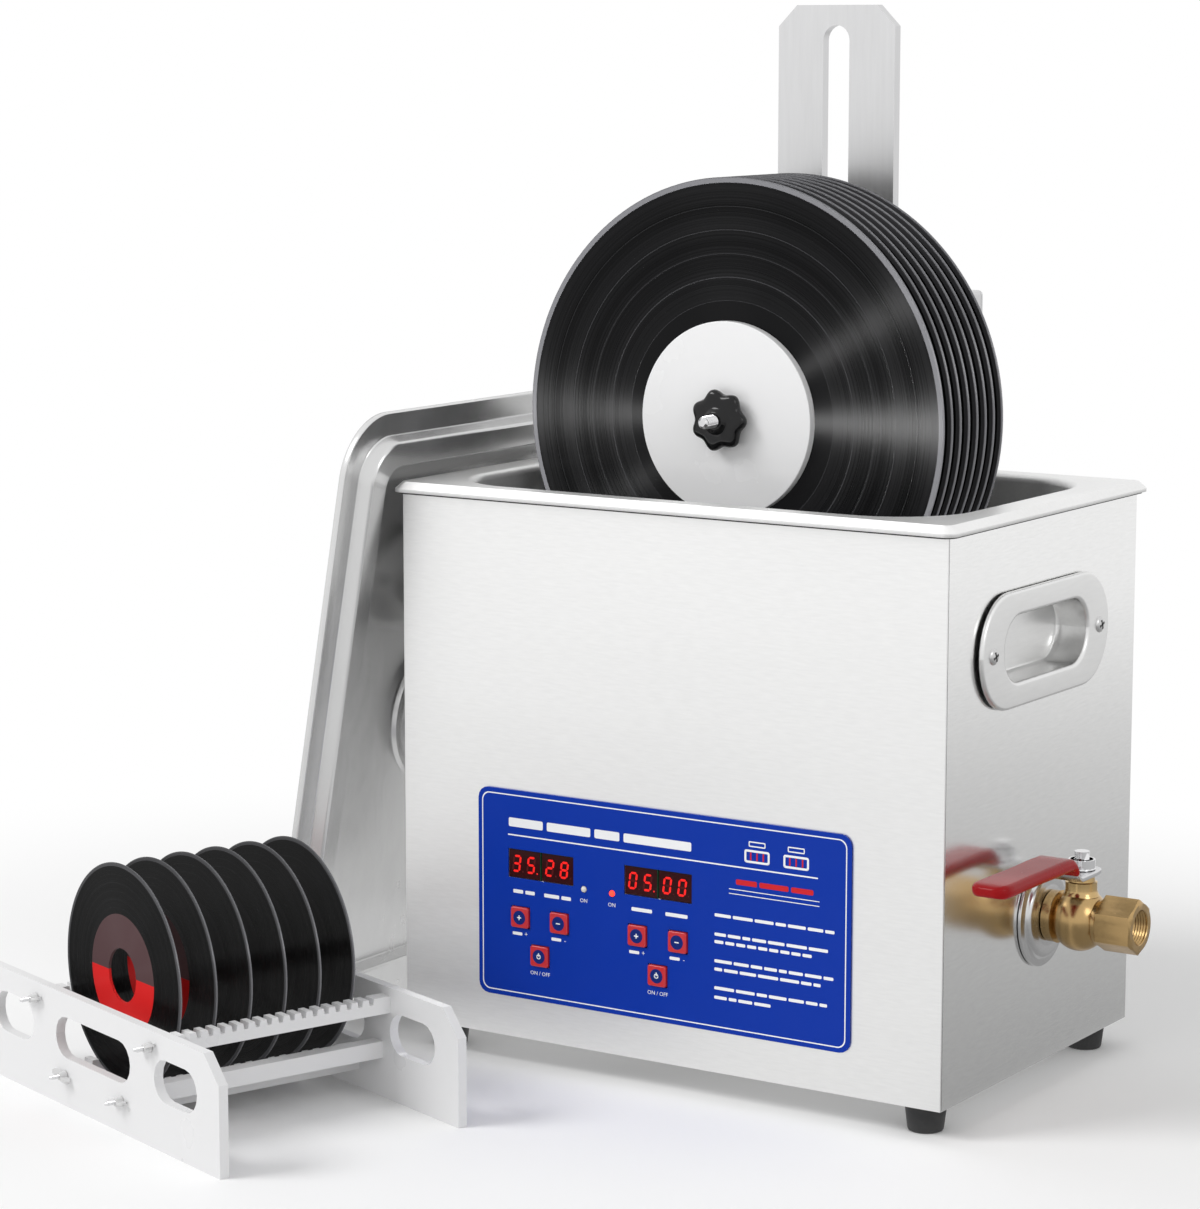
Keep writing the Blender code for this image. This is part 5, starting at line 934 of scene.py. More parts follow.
def valve_casting():
    """The valve's body: a spun belly and a hexagon for the spanner, with a threaded outlet."""
    hex_start = VALVE_LENGTH - HEX_LENGTH
    profile = [(0.0076, 0), (COLLAR_RADIUS - 0.0006, 0), (COLLAR_RADIUS, 0.0006), (COLLAR_RADIUS, 0.0048),
               (COLLAR_RADIUS + 0.0003, 0.0054)]
    for turn in range(-58, 62, 8):
        spread = math.radians(turn)
        profile.append((BELLY_RADIUS * (0.30 + 0.70 * math.cos(spread)),
                        BALL_X + 0.0122 * math.sin(spread)))
    profile += [(NECK_RADIUS, hex_start - 0.0010), (NECK_RADIUS, hex_start + 0.0012),
                (0.0076, hex_start + 0.0012), (0.0076, 0)]
    shape = spun(profile, 64)
    bore = VALVE_LENGTH - OUTLET_DEPTH
    corner = HEX_FLATS / math.sqrt(3)
    kept = set(shape.faces)
    start = hex_start + 0.0001
    loops = []
    for radius, height in ((0.0078, start), (HEX_FLATS / 2 * 0.97, start), (corner, start + HEX_EDGE),
                           (corner, VALVE_LENGTH - HEX_EDGE), (HEX_FLATS / 2 * 0.96, VALVE_LENGTH)):
        points, edges = circle(shape, radius, height)
        if radius == corner:
            six_sided(points, HEX_FLATS, 0.985)
        loops.append(edges)
    turns = int(OUTLET_DEPTH / THREAD_PITCH) - 1
    heights = [(OUTLET_RADIUS + 0.0004, VALVE_LENGTH), (OUTLET_RADIUS, VALVE_LENGTH - 0.0005)]
    for turn in range(turns):
        height = VALVE_LENGTH - 0.0008 - turn * THREAD_PITCH
        heights += [(OUTLET_RADIUS, height), (OUTLET_RADIUS + THREAD_DEPTH, height - THREAD_PITCH * 0.45)]
    heights += [(OUTLET_RADIUS, bore + 0.0004), (0.0078, bore), (0.0078, start)]
    for radius, height in heights:
        loops.append(circle(shape, radius, height)[1])
    joined(shape, loops)
    bmesh.ops.remove_doubles(shape, verts=shape.verts, dist=0.000002)
    fresh = [f for f in shape.faces if f not in kept]
    bmesh.ops.recalc_face_normals(shape, faces=fresh)
    bmesh.ops.transform(shape, matrix=valve_place, verts=shape.verts)
    return shape


def lathe_at(profile, steps, x, z):
    return spun(profile, steps, Matrix.Translation(MACHINE + Vector((x, 0, z))))


finished("valve_casting", valve_casting(), brass, "machine", "valve_body")
boss = [(0.0041, 0.0125), (BOSS_RADIUS + 0.0012, 0.0125), (BOSS_RADIUS + 0.0004, 0.0142),
        (BOSS_RADIUS, 0.0156), (BOSS_RADIUS, BOSS_TOP - 0.0030), (BOSS_RADIUS - 0.0012, BOSS_TOP - 0.0026),
        (BOSS_RADIUS - 0.0014, BOSS_TOP - 0.0004), (BOSS_RADIUS - 0.0018, BOSS_TOP), (0.0041, BOSS_TOP),
        (0.0041, 0.0125)]
finished("valve_boss", lathe_at(boss, 48, VALVE_X + BALL_X, VALVE_Z), turned_brass, "machine")
dressed("valve_ball_stem", chrome, 0)

strap_top = BOSS_TOP + SEAM + STRAP_THICKNESS + SEAM
washer = [(STEM_RADIUS, strap_top), (WASHER_RADIUS, strap_top),
          (WASHER_RADIUS + 0.0001, strap_top + 0.0004), (WASHER_RADIUS - 0.0002, strap_top + WASHER_HEIGHT),
          (STEM_RADIUS, strap_top + WASHER_HEIGHT), (STEM_RADIUS, strap_top)]
finished("valve_washer", lathe_at(washer, 40, VALVE_X + BALL_X, VALVE_Z), chrome, "drain_valve")


def hexagon_nut(flats, height, bore, place):
    """A spanner nut: six flats, with both rims turned to a cone at the corners."""
    shape = bmesh.new()
    corner, loops = flats / math.sqrt(3), []
    for radius, level in ((bore, 0), (flats / 2 * 0.97, 0), (corner, height * 0.16),
                          (corner, height * 0.84), (flats / 2 * 0.97, height), (bore, height)):
        points, edges = circle(shape, radius, level)
        if radius == corner:
            six_sided(points, flats, 0.98)
        loops.append(edges)
    joined(shape, loops + loops[:1])
    bmesh.ops.recalc_face_normals(shape, faces=shape.faces)
    bmesh.ops.transform(shape, matrix=place, verts=shape.verts)
    return shape


nut_place = Matrix.Translation(MACHINE + Vector((VALVE_X + BALL_X, 0, VALVE_Z + strap_top + WASHER_HEIGHT)))
nut = hexagon_nut(NUT_FLATS, NUT_HEIGHT - WASHER_HEIGHT, STEM_RADIUS + 0.0001, nut_place)
finished("valve_nut", nut, chrome, "drain_valve")


def lever_length(stations, level, steps=6):
    """Sections along the lever, from the stem towards the front, joined end to end. Past the stem
    it swings up in a smooth step."""
    shape, loops = bmesh.new(), []
    for share, width, thickness in stations:
        part = min(1.0, max(0.0, (share - BEND_START) / BEND_SHARE))
        rise = LEVER_RISE * part * part * (3 - 2 * part)
        corner = thickness * (0.30 if thickness < 0.004 else 0.46)
        section = Matrix.Translation((0, -LEVER_LENGTH * share, rise + STRAP_THICKNESS / 2)) @ FRONT
        loops.append(outline(shape, width / 2, thickness / 2, corner, section, steps))
    capped(shape, loops)
    bmesh.ops.translate(shape, vec=MACHINE + Vector((VALVE_X + BALL_X, 0, level)), verts=shape.verts)
    return shape


lever_level = VALVE_Z + BOSS_TOP + SEAM
zinc = metal("zinc plate", ZINC_COLOUR, 0.22, run=(1, 0.2, 1), fineness=500.0, change=0.12)
strap = [(-0.095, 0.0090), (-0.088, 0.0118), (-0.075, 0.0142), (-0.060, 0.0156), (0, STRAP_WIDTH),
         (BEND_START, STRAP_WIDTH)]
strap += [(BEND_START + BEND_SHARE * step / 8, STRAP_WIDTH) for step in range(1, 9)]
strap.append((STRAP_END, STRAP_WIDTH))
stations = [(share, width, STRAP_THICKNESS) for share, width in strap]
finished("lever_strap", lever_length(stations, lever_level), zinc, "drain_valve", "valve_lever")
stations = [(0.215, 0.0192, 0.0040), (0.225, 0.0200, 0.0050), (0.245, 0.0204, 0.0054),
            (0.265, 0.0206, 0.0058), (0.285, 0.0208, 0.0062)]
for share, wide, thick in ((0.330, 0.98, 0.96), (0.400, 1.0, 1.0), (0.600, 0.97, 0.97), (0.800, 0.98, 1.0),
                           (0.900, 1.0, 1.0), (0.940, 0.98, 1.0), (0.960, 0.92, 0.97), (0.976, 0.82, 0.90),
                           (0.988, 0.66, 0.78), (0.996, 0.45, 0.58), (1.000, 0.20, 0.30)):
    stations.append((share, GRIP_WIDTH * wide, GRIP_THICKNESS * thick))
grip_red = moulded("dipped vinyl", GRIP_RED, 0.22, grain_size=500.0, relief=0.000006, dust=0.0, worn=0.0,
                   shine=0.16)
finished("lever_grip", lever_length(stations, lever_level, 10), grip_red, "drain_valve", smooth=60)

# Back: a plastic inlet for the mains lead, a rocker switch in its frame and a small fan, all
# snapped or screwed into holes of the wrap.
REAR = Matrix.Rotation(math.radians(-90), 4, "X")
SMALL_SCREW = 0.0028
SMALL_HEAD = 0.0012
FAN_SCREW_INSET = 0.0042
inlet_plastic = moulded("inlet plastic", (0.016, 0.016, 0.017, 1), 0.38)
dressed("power_inlet", inlet_plastic, 0.0003)
dressed("switch_frame", inlet_plastic, 0.0002)
dressed("power_switch", moulded("rocker red", (0.42, 0.014, 0.012, 1), 0.28, coat=0.4), 0.0003)
fan_plastic = moulded("fan plastic", (0.020, 0.020, 0.021, 1), 0.45)
dressed("fan_frame", fan_plastic, 0.0002)
dressed("fan_rotor", fan_plastic, 0.0001)
low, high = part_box("fan_frame")
left, right = low.x + FAN_SCREW_INSET, high.x - FAN_SCREW_INSET
foot, head = low.z + FAN_SCREW_INSET, high.z - FAN_SCREW_INSET
for number, (x, z) in enumerate(((left, foot), (right, foot), (left, head), (right, head))):
    place = Matrix.Translation((x, high.y, z)) @ REAR
    finished(f"fan_screw_{number + 1}", cross_screw(SMALL_SCREW, SMALL_HEAD, place), screw_steel, "machine")

# Inside the case: two sound transducers glued under the tank with a heater mat between them,
# and the generator board on posts of the base.
dressed("transducer_left", metal("transducer aluminium", (0.72, 0.73, 0.74, 1), 0.34), 0.0003)
dressed("transducer_right", metal("transducer aluminium right", (0.72, 0.73, 0.74, 1), 0.34), 0.0003)
dressed("heater_mat", moulded("silicone mat", (0.45, 0.06, 0.03, 1), 0.6), 0.0002)
dressed("generator_board", board_green, 0.0001)

# Upright and drive: a slotted aluminium plate clamped to the rear rim by a bent bracket. A thin
# steel box with a flat gear motor slides on the plate and is held there by a clamp knob.
SPINDLE_X = -0.009
SPINDLE_Z = 0.334
MAST_FRONT_Y = 0.0798
BOX_BACK_Y = 0.1185
BOX_SHEET = 0.0016
BOX_MIDDLE_Z = 0.350
BOX_SCREW_X = 0.0605
BOX_SCREW_Z = 0.0360
CLAMP_RISE = 0.042
CLAMP_RADIUS = 0.0140
CLAMP_DEPTH = 0.014
CLAMP_ROD_RADIUS = 0.0032
HUB_RADIUS = 0.0085
HUB_LENGTH = 0.003
LOBE_DIP = 0.15


def star_knob(levels, lobes, place):
    """Rings that dip between the lobes, joined into a knob. A level gives radius, height and dip."""
    shape, loops = bmesh.new(), []
    for radius, height, dip in levels:
        points, edges = circle(shape, radius, height, lobes * 14)
        for v in points:
            wave = (1 - math.cos(lobes * math.atan2(v.co.y, v.co.x))) / 2
            v.co.xy = v.co.xy * (1 - dip * wave)
        loops.append(edges)
    capped(shape, loops)
    bmesh.ops.transform(shape, matrix=place, verts=shape.verts)
    return shape


plate_metal = metal("anodised plate", (0.66, 0.66, 0.665, 1), 0.34, run=(1, 1, 0.06), fineness=420.0,
                    change=0.1)
box_metal = metal("folded box", (0.62, 0.62, 0.625, 1), 0.30, run=(0.06, 0.06, 1), fineness=380.0)
dressed("mast_bracket", plate_metal, 0.0005)
dressed("mast", plate_metal, 0.0004)
dressed("motor_box", box_metal, 0.0003)
dressed("motor_box_cover", box_metal, 0.0003)
dressed("gear_motor", metal("motor can", (0.60, 0.60, 0.61, 1), 0.3), 0.0004)
for number, (side, rise) in enumerate(((-1, -1), (1, -1), (-1, 1), (1, 1))):
    spot = Vector((SPINDLE_X + side * BOX_SCREW_X, BOX_BACK_Y + BOX_SHEET,
                   BOX_MIDDLE_Z + rise * BOX_SCREW_Z))
    place = Matrix.Translation(MACHINE + spot) @ REAR
    finished(f"cover_screw_{number + 1}", cross_screw(SMALL_SCREW, SMALL_HEAD, place), screw_steel, "lift")

knob_black = moulded("glossy knob", (0.004, 0.004, 0.0045, 1), 0.14, grain_size=700.0, relief=0.000002,
                     dust=0.0, worn=0.0, shine=0.35)
levels = [(CLAMP_ROD_RADIUS, -0.0079, 0), (CLAMP_ROD_RADIUS, 0.0003, 0), (HUB_RADIUS, 0.0003, 0),
          (HUB_RADIUS, HUB_LENGTH - 0.0005, 0), (HUB_RADIUS + 0.0012, HUB_LENGTH, 0.02),
          (CLAMP_RADIUS - 0.0012, HUB_LENGTH + 0.0001, LOBE_DIP),
          (CLAMP_RADIUS - 0.0003, HUB_LENGTH + 0.0006, LOBE_DIP),
          (CLAMP_RADIUS, HUB_LENGTH + 0.0016, LOBE_DIP), (CLAMP_RADIUS, CLAMP_DEPTH - 0.0028, LOBE_DIP),
          (CLAMP_RADIUS - 0.0004, CLAMP_DEPTH - 0.0014, LOBE_DIP),
          (CLAMP_RADIUS - 0.0016, CLAMP_DEPTH - 0.0004, 0.14), (CLAMP_RADIUS - 0.0036, CLAMP_DEPTH, 0.10)]
place = Matrix.Translation(MACHINE + Vector((SPINDLE_X, MAST_FRONT_Y, SPINDLE_Z + CLAMP_RISE))) @ FRONT
finished("clamp_star", star_knob(levels, 4, place), knob_black, "lift_clamp", "lift_clamp_knob", smooth=50)

# Spindle: a steel rod turned with its plastic spacers, which keep eight records apart. Two white
# label discs seal the outer labels, and a star knob on the threaded end presses all together.
RECORD_COUNT = 8
RECORD_PITCH = 0.0090
RECORD_RADIUS = 0.1225
RECORD_THICKNESS = 0.0019
RECORD_BORE = 0.0036
RECORD_BEAD = 0.0028
RECORD_LABEL = 0.0500
RECORD_LAND = 0.0600
GROOVE_DROP = 0.00025
FIRST_RECORD_Y = -0.0250
LABEL_RADIUS = 0.050
LABEL_THICKNESS = 0.0052
LABEL_EDGE = 0.0007
SPINDLE_RADIUS = 0.0033
SPINDLE_END = 0.0988
SPINDLE_TIP = 0.05375
SPACER_RADIUS = 0.018
KNOB_RADIUS = 0.0160
KNOB_DEPTH = 0.0110
KNOB_CONE = 0.0062
THREAD_STEP = 0.0010
THREAD_CUT = 0.00045
THREAD_START = 0.030
VINYL_BLACK = (0.0016, 0.0016, 0.0017, 1)

label_face = FIRST_RECORD_Y - RECORD_THICKNESS / 2 - SEAM
knob_seat = label_face - LABEL_THICKNESS - SEAM
last_record_y = FIRST_RECORD_Y + (RECORD_COUNT - 1) * RECORD_PITCH


def about_spindle(depth):
    """Frame whose Z looks forwards along the spindle, from that depth in the machine."""
    return Matrix.Translation(MACHINE + Vector((SPINDLE_X, depth, SPINDLE_Z))) @ FRONT


profile = [(0, -SPINDLE_END), (SPINDLE_RADIUS, -SPINDLE_END)]
collar = last_record_y + RECORD_THICKNESS / 2 + 2 * SEAM + LABEL_THICKNESS
profile += [(SPINDLE_RADIUS, -collar - 0.004), (0.0097, -collar - 0.004), (0.010, -collar - 0.0037),
            (0.010, -collar), (SPINDLE_RADIUS, -collar)]
for place in reversed(range(RECORD_COUNT - 1)):
    low = FIRST_RECORD_Y + place * RECORD_PITCH + RECORD_THICKNESS / 2 + SEAM
    high = FIRST_RECORD_Y + (place + 1) * RECORD_PITCH - RECORD_THICKNESS / 2 - SEAM
    profile += [(SPINDLE_RADIUS, -high), (SPACER_RADIUS - 0.0004, -high), (SPACER_RADIUS, -high + 0.0004),
                (SPACER_RADIUS, -low - 0.0004), (SPACER_RADIUS - 0.0004, -low), (SPINDLE_RADIUS, -low)]
core = SPINDLE_RADIUS - THREAD_CUT
profile += [(SPINDLE_RADIUS, THREAD_START), (core, THREAD_START + THREAD_CUT),
            (core, SPINDLE_TIP - 0.0012), (core * 0.6, SPINDLE_TIP), (0, SPINDLE_TIP)]
rod_steel = metal("spindle rod", (0.72, 0.72, 0.73, 1), 0.15, fineness=400.0, change=0.05)
finished("spindle_rod", spun(profile, 56, about_spindle(0)), rod_steel, "turning_spindle", "spindle")

thread = bmesh.new()
ridge = [thread.verts.new(spot) for spot in (
    (core - 0.0002, 0, -THREAD_STEP * 0.45), (SPINDLE_RADIUS, 0, -THREAD_STEP * 0.08),
    (SPINDLE_RADIUS, 0, THREAD_STEP * 0.08), (core - 0.0002, 0, THREAD_STEP * 0.45))]
line = [thread.edges.new((ridge[k], ridge[(k + 1) % 4])) for k in range(4)]
turns = int((SPINDLE_TIP - THREAD_START - 0.0024) / THREAD_STEP)
bmesh.ops.spin(thread, geom=ridge + line, cent=(0, 0, 0), axis=(0, 0, 1), angle=math.tau * turns,
               dvec=(0, 0, THREAD_STEP / 24), steps=24 * turns, use_merge=False)
bmesh.ops.holes_fill(thread, edges=thread.edges, sides=4)
bmesh.ops.recalc_face_normals(thread, faces=thread.faces)
bmesh.ops.transform(thread, matrix=about_spindle(0) @ at_level(THREAD_START + 0.0012), verts=thread.verts)
finished("spindle_thread", thread, chrome, "turning_spindle", smooth=20)

bore, nearly = SPINDLE_RADIUS + SEAM, LABEL_EDGE * 0.3
profile = [(bore, 0), (LABEL_RADIUS - LABEL_EDGE, 0), (LABEL_RADIUS - nearly, nearly),
           (LABEL_RADIUS, LABEL_EDGE), (LABEL_RADIUS, LABEL_THICKNESS - LABEL_EDGE),
           (LABEL_RADIUS - nearly, LABEL_THICKNESS - nearly),
           (LABEL_RADIUS - LABEL_EDGE, LABEL_THICKNESS), (bore, LABEL_THICKNESS), (bore, 0)]
disc_white = moulded("label disc white", (0.88, 0.88, 0.885, 1), 0.24, grain_size=500.0, relief=0.000005,
                     dust=0.12, worn=0.1, coat=0.25)
finished("front_label_plate", spun(profile, 128, about_spindle(label_face)), disc_white, "turning_spindle",
         "front_label_disc")
rear_face = last_record_y + RECORD_THICKNESS / 2 + SEAM + LABEL_THICKNESS
finished("rear_label_plate", spun(profile, 128, about_spindle(rear_face)), disc_white, "turning_spindle",
         "rear_label_disc")

depth, radius = KNOB_DEPTH, KNOB_RADIUS
levels = [(HUB_RADIUS, 0, 0), (HUB_RADIUS, 0.0022, 0), (HUB_RADIUS + 0.001, 0.0027, 0),
          (radius - 0.0022, 0.0030, 0.10), (radius - 0.0008, 0.0034, 0.14),
          (radius - 0.0002, 0.0042, LOBE_DIP), (radius, 0.0052, LOBE_DIP),
          (radius - 0.0001, 0.0066, LOBE_DIP), (radius - 0.0008, 0.0078, LOBE_DIP),
          (radius - 0.0022, 0.0086, 0.14),
          (radius - 0.0048, 0.0088, 0.10), (KNOB_CONE + 0.0012, 0.0090, 0.02), (KNOB_CONE, 0.0094, 0),
          (KNOB_CONE * 0.78, depth - 0.0002, 0), (KNOB_CONE * 0.7, depth, 0), (bore, depth, 0)]
finished("spindle_star", star_knob(levels, 7, about_spindle(knob_seat)), knob_black, "disc_clamp",
         "spindle_knob", smooth=50)


def cut_grooves():
    """Rings of a pressed disc: fine grooves in a few broad bands, with smooth gaps between the songs. The
    tone paints the gaps lighter as painted sheen, and the rim as a painted highlight.
    """
    group, given, out = effect(
        "cut grooves",
        [("Reach", "value", 0.1), ("Inner", "value", 0.05), ("Outer", "value", 0.12),
         ("Pitch", "value", 0.0008)],
        [("Height", "value"), ("Tone and painted sheen", "value"), ("Gloss", "value")])
    share = node(group, "MapRange", {"Value": given["Reach"], "From Min": given["Inner"],
                 "From Max": given["Outer"]})
    songs = node(group, "TexNoise", {"W": share, "Scale": 7.0, "Detail": 1.0},
                 noise_dimensions="1D")
    bands = node(group, "TexNoise", {"W": share, "Scale": 60.0, "Detail": 4.0,
                 "Roughness": 0.75}, noise_dimensions="1D")
    turns = node(group, "Math", {0: given["Reach"], 1: given["Pitch"]}, operation="DIVIDE")
    wave = node(group, "Math", {0: turns, 1: 1.0}, operation="PINGPONG")
    inside = node(group, "Math", {0: given["Reach"], 1: given["Inner"]}, operation="GREATER_THAN")
    outside = node(group, "Math", {0: given["Reach"], 1: given["Outer"]}, operation="LESS_THAN")
    cut = node(group, "Math", {0: inside, 1: outside}, operation="MULTIPLY")
    song = node(group, "Math", {0: share, 1: 5.0}, operation="MULTIPLY")
    gap = node(group, "Math", {0: song, 1: 0.5}, operation="PINGPONG")
    bare = node(group, "Math", {0: gap, 1: 0.028}, operation="GREATER_THAN")
    held = node(group, "Math", {0: cut, 1: bare}, operation="MULTIPLY")
    height = node(group, "Math", {0: wave, 1: held}, operation="MULTIPLY")
    mixed = node(group, "Math", {0: bands, 1: songs}, operation="ADD")
    tone = node(group, "MapRange", {"Value": mixed, "From Min": 0.7, "From Max": 1.3,
                "To Min": 0.4, "To Max": 1.8})
    # Painted sheen: the smooth gaps between songs are up to six times lighter, and beyond the grooves the
    # rim is thirty times lighter, a painted rim highlight.
    line = node(group, "MapRange", {"Value": gap, "From Min": 0.0, "From Max": 0.028,
                "To Min": 6.0, "To Max": 1.0})
    line = node(group, "Mix", {0: inside, 2: 1.0, 3: line})
    line = node(group, "Mix", {0: outside, 2: 30.0, 3: line})
    tone = node(group, "Math", {0: tone, 1: line}, operation="MULTIPLY")
    gloss = node(group, "MapRange", {"Value": mixed, "From Min": 0.7, "From Max": 1.3,
                 "To Min": 0.20, "To Max": 0.34})
    smooth = node(group, "Mix", {0: held, 2: 0.24, 3: gloss})
    group.links.new(height.outputs[0], out["Height"])
    group.links.new(tone.outputs[0], out["Tone and painted sheen"])
    group.links.new(smooth.outputs[0], out["Gloss"])
    return group


GROOVES = cut_grooves()


def vinyl(name, centre, axis, inner, outer, label=None, shine=0.05):
    """Pressed black vinyl about an axis. Its grooves stretch each highlight into a fan."""
    finish, tree, shader = new_finish(name)
    shader.inputs["Anisotropic"].default_value = 1.0
    shader.inputs["Specular IOR Level"].default_value = shine
    spot = node(tree, "TexCoord")
    arm = node(tree, "VectorMath", {0: spot.outputs["Object"], 1: centre}, operation="SUBTRACT")
    along = node(tree, "VectorMath", {0: arm, 1: axis}, operation="PROJECT")
    spoke = node(tree, "VectorMath", {0: arm, 1: along}, operation="SUBTRACT")
    reach = node(tree, "VectorMath", {0: spoke}, operation="LENGTH")
    ground = node(tree, "VectorTransform", {0: spoke}, vector_type="VECTOR",
                  convert_from="OBJECT", convert_to="WORLD")
    tree.links.new(ground.outputs[0], shader.inputs["Tangent"])
    rings = placed(tree, GROOVES, {"Reach": reach.outputs["Value"], "Inner": inner, "Outer": outer,
                   "Pitch": 0.0004})
    # The black is scaled by the grooves' tone, which carries the painted sheen and rim highlight.
    black = node(tree, "VectorMath", {0: VINYL_BLACK[:3], "Scale": rings.outputs["Tone and painted sheen"]},
                 operation="SCALE")
    colour, roughness = black.outputs[0], rings.outputs["Gloss"]
    if label:
        edge, upper, lower = label
        paper = node(tree, "Math", {0: reach.outputs["Value"], 1: edge}, operation="LESS_THAN")
        rise = node(tree, "SeparateXYZ", {0: spoke})
        top = node(tree, "Math", {0: rise.outputs["Z"], 1: 0.0006}, operation="GREATER_THAN")
        ink = node(tree, "Mix", {0: top, 6: lower, 7: upper}, data_type="RGBA")
        mixed = node(tree, "Mix", {0: paper, 6: colour, 7: ink.outputs[2]}, data_type="RGBA")
        matt = node(tree, "Mix", {0: paper, 2: roughness, 3: 0.5})
        colour, roughness = mixed.outputs[2], matt.outputs[0]
    lying = placed(tree, DUST, {"Vector": spot.outputs["Object"], "Colour": colour, "Roughness": roughness,
                   "Amount": 0.002})
    bump = node(tree, "Bump", {"Height": rings.outputs["Height"], "Strength": 0.5,
                "Distance": 0.00003})
    surfaced(tree, shader, lying, bump)
    return finish


def pressed_disc(bore, land, bead, radius, thickness, place):
    """A disc with a round-edged rim and label, and a slightly sunk field of grooves between."""
    half, low = thickness / 2, thickness / 2 - GROOVE_DROP
    side = [(bore, half), (land - 0.0008, half), (land, low), (radius - bead, low),
            (radius - bead * 0.5, half), (radius - 0.0006, half), (radius - 0.0002, half * 0.7),
            (radius, half * 0.25)]
    back = [(reach, -height) for reach, height in reversed(side)]
    return spun(side + back + side[:1], 144, place)


centre = MACHINE + Vector((SPINDLE_X, 0, SPINDLE_Z))
record_vinyl = vinyl("record vinyl", centre, (0, 1, 0), RECORD_LAND, RECORD_RADIUS - RECORD_BEAD)
for number in range(RECORD_COUNT):
    place = about_spindle(FIRST_RECORD_Y + number * RECORD_PITCH)
    shape = pressed_disc(RECORD_BORE, RECORD_LABEL, RECORD_BEAD, RECORD_RADIUS, RECORD_THICKNESS, place)
    record = finished(f"record_{number + 1}_pressing", shape, record_vinyl, "turning_spindle",
                      f"record_{number + 1}")
    grooved_discs.objects.link(record)
    tall_records.objects.link(record)

# Lid: one polished steel pressing with a hemmed flange, a raised frame and a round bowl, set down
# on its edge beside the bath. A strap across the bowl's back is its grip.
LID_LENGTH = 0.340
LID_WIDTH = 0.229
LID_SHEET = 0.0012
LID_CORNER = 0.032
LID_HEM = 0.0035
LID_FLANGE = 0.012
LID_FRAME_WIDTH = 0.017
LID_FRAME_SLOPE = 0.003
LID_FRAME_HEIGHT = 0.008
LID_BOWL_RADIUS = 0.043
LID_BOWL_BEAD = 0.005
LID_BOWL_DEPTH = 0.013
LID_LEAN = math.radians(10)
LID_FOOT = Vector((-0.16819, -0.033, 0))
LID_TURN = Matrix(((0, math.sin(LID_LEAN), math.cos(LID_LEAN), 0), (1, 0, 0, 0),
                   (0, math.cos(LID_LEAN), -math.sin(LID_LEAN), 0), (0, 0, 0, 1)))
LID_PLACE = Matrix.Translation(LID_FOOT) @ LID_TURN @ Matrix.Translation((LID_WIDTH / 2, LID_LENGTH / 2, 0))


def lid_pressing():
    """Outlines from the hem inwards over the raised frame, then rings down into the bowl."""
    shape, loops = bmesh.new(), []
    frame_end = LID_FLANGE + LID_FRAME_WIDTH
    slope, rise = LID_FRAME_SLOPE, LID_FRAME_HEIGHT
    stations = [(0, -LID_HEM), (0, -0.0009), (0.0003, -0.0002), (0.0010, 0), (LID_FLANGE - 0.0008, 0),
                (LID_FLANGE - 0.0002, 0.0002), (LID_FLANGE + 0.0003, 0.0009)]
    stations += [(LID_FLANGE + slope * 0.55, rise - 0.0016), (LID_FLANGE + slope * 0.75, rise - 0.0006),
                 (LID_FLANGE + slope, rise), (LID_FLANGE + slope + 0.0010, rise)]
    stations += [(frame_end - slope - 0.0010, rise), (frame_end - slope, rise),
                 (frame_end - slope * 0.75, rise - 0.0006), (frame_end - slope * 0.55, rise - 0.0016),
                 (frame_end - 0.0003, 0.0009), (frame_end + 0.0002, 0.0002), (frame_end + 0.0008, 0)]
    for inset, level in stations:
        loops.append(outline(shape, LID_WIDTH / 2 - inset, LID_LENGTH / 2 - inset,
                             LID_CORNER - inset * 0.75, at_level(level), 14))
    joined(shape, loops)
    bowl, bead = LID_BOWL_RADIUS, LID_BOWL_BEAD
    rings = []
    for radius, level in ((bowl + 0.0006, 0), (bowl, 0.0004), (bowl - bead * 0.25, bead * 0.46),
                          (bowl - bead * 0.5, bead * 0.52), (bowl - bead * 0.85, bead * 0.50),
                          (bowl - bead * 1.05, bead * 0.62), (bowl - bead * 1.25, LID_BOWL_DEPTH * 0.72),
                          (bowl - bead * 1.5, LID_BOWL_DEPTH * 0.92), (bowl - bead * 2.2, LID_BOWL_DEPTH),
                          (bowl - bead * 5.5, LID_BOWL_DEPTH)):
        rings.append(circle(shape, radius, level, 72)[1])
    joined(shape, rings)
    closed_end(shape, rings[-1])
    bmesh.ops.triangle_fill(shape, edges=loops[-1] + rings[0], use_beauty=True)
    bmesh.ops.recalc_face_normals(shape, faces=shape.faces)
    bmesh.ops.transform(shape, matrix=LID_PLACE, verts=shape.verts)
    return shape


polished = metal("polished lid", (0.72, 0.72, 0.72, 1), 0.25, run=(1, 1, 0.3), fineness=120.0, change=0.10,
                 relief=0.000004, dust=0.0, bare=0.84)
finished("lid_pressing", lid_pressing(), polished, "lid_set_aside", "lid", sheet=LID_SHEET)
dressed("lid_handle", polished, 0.0006)

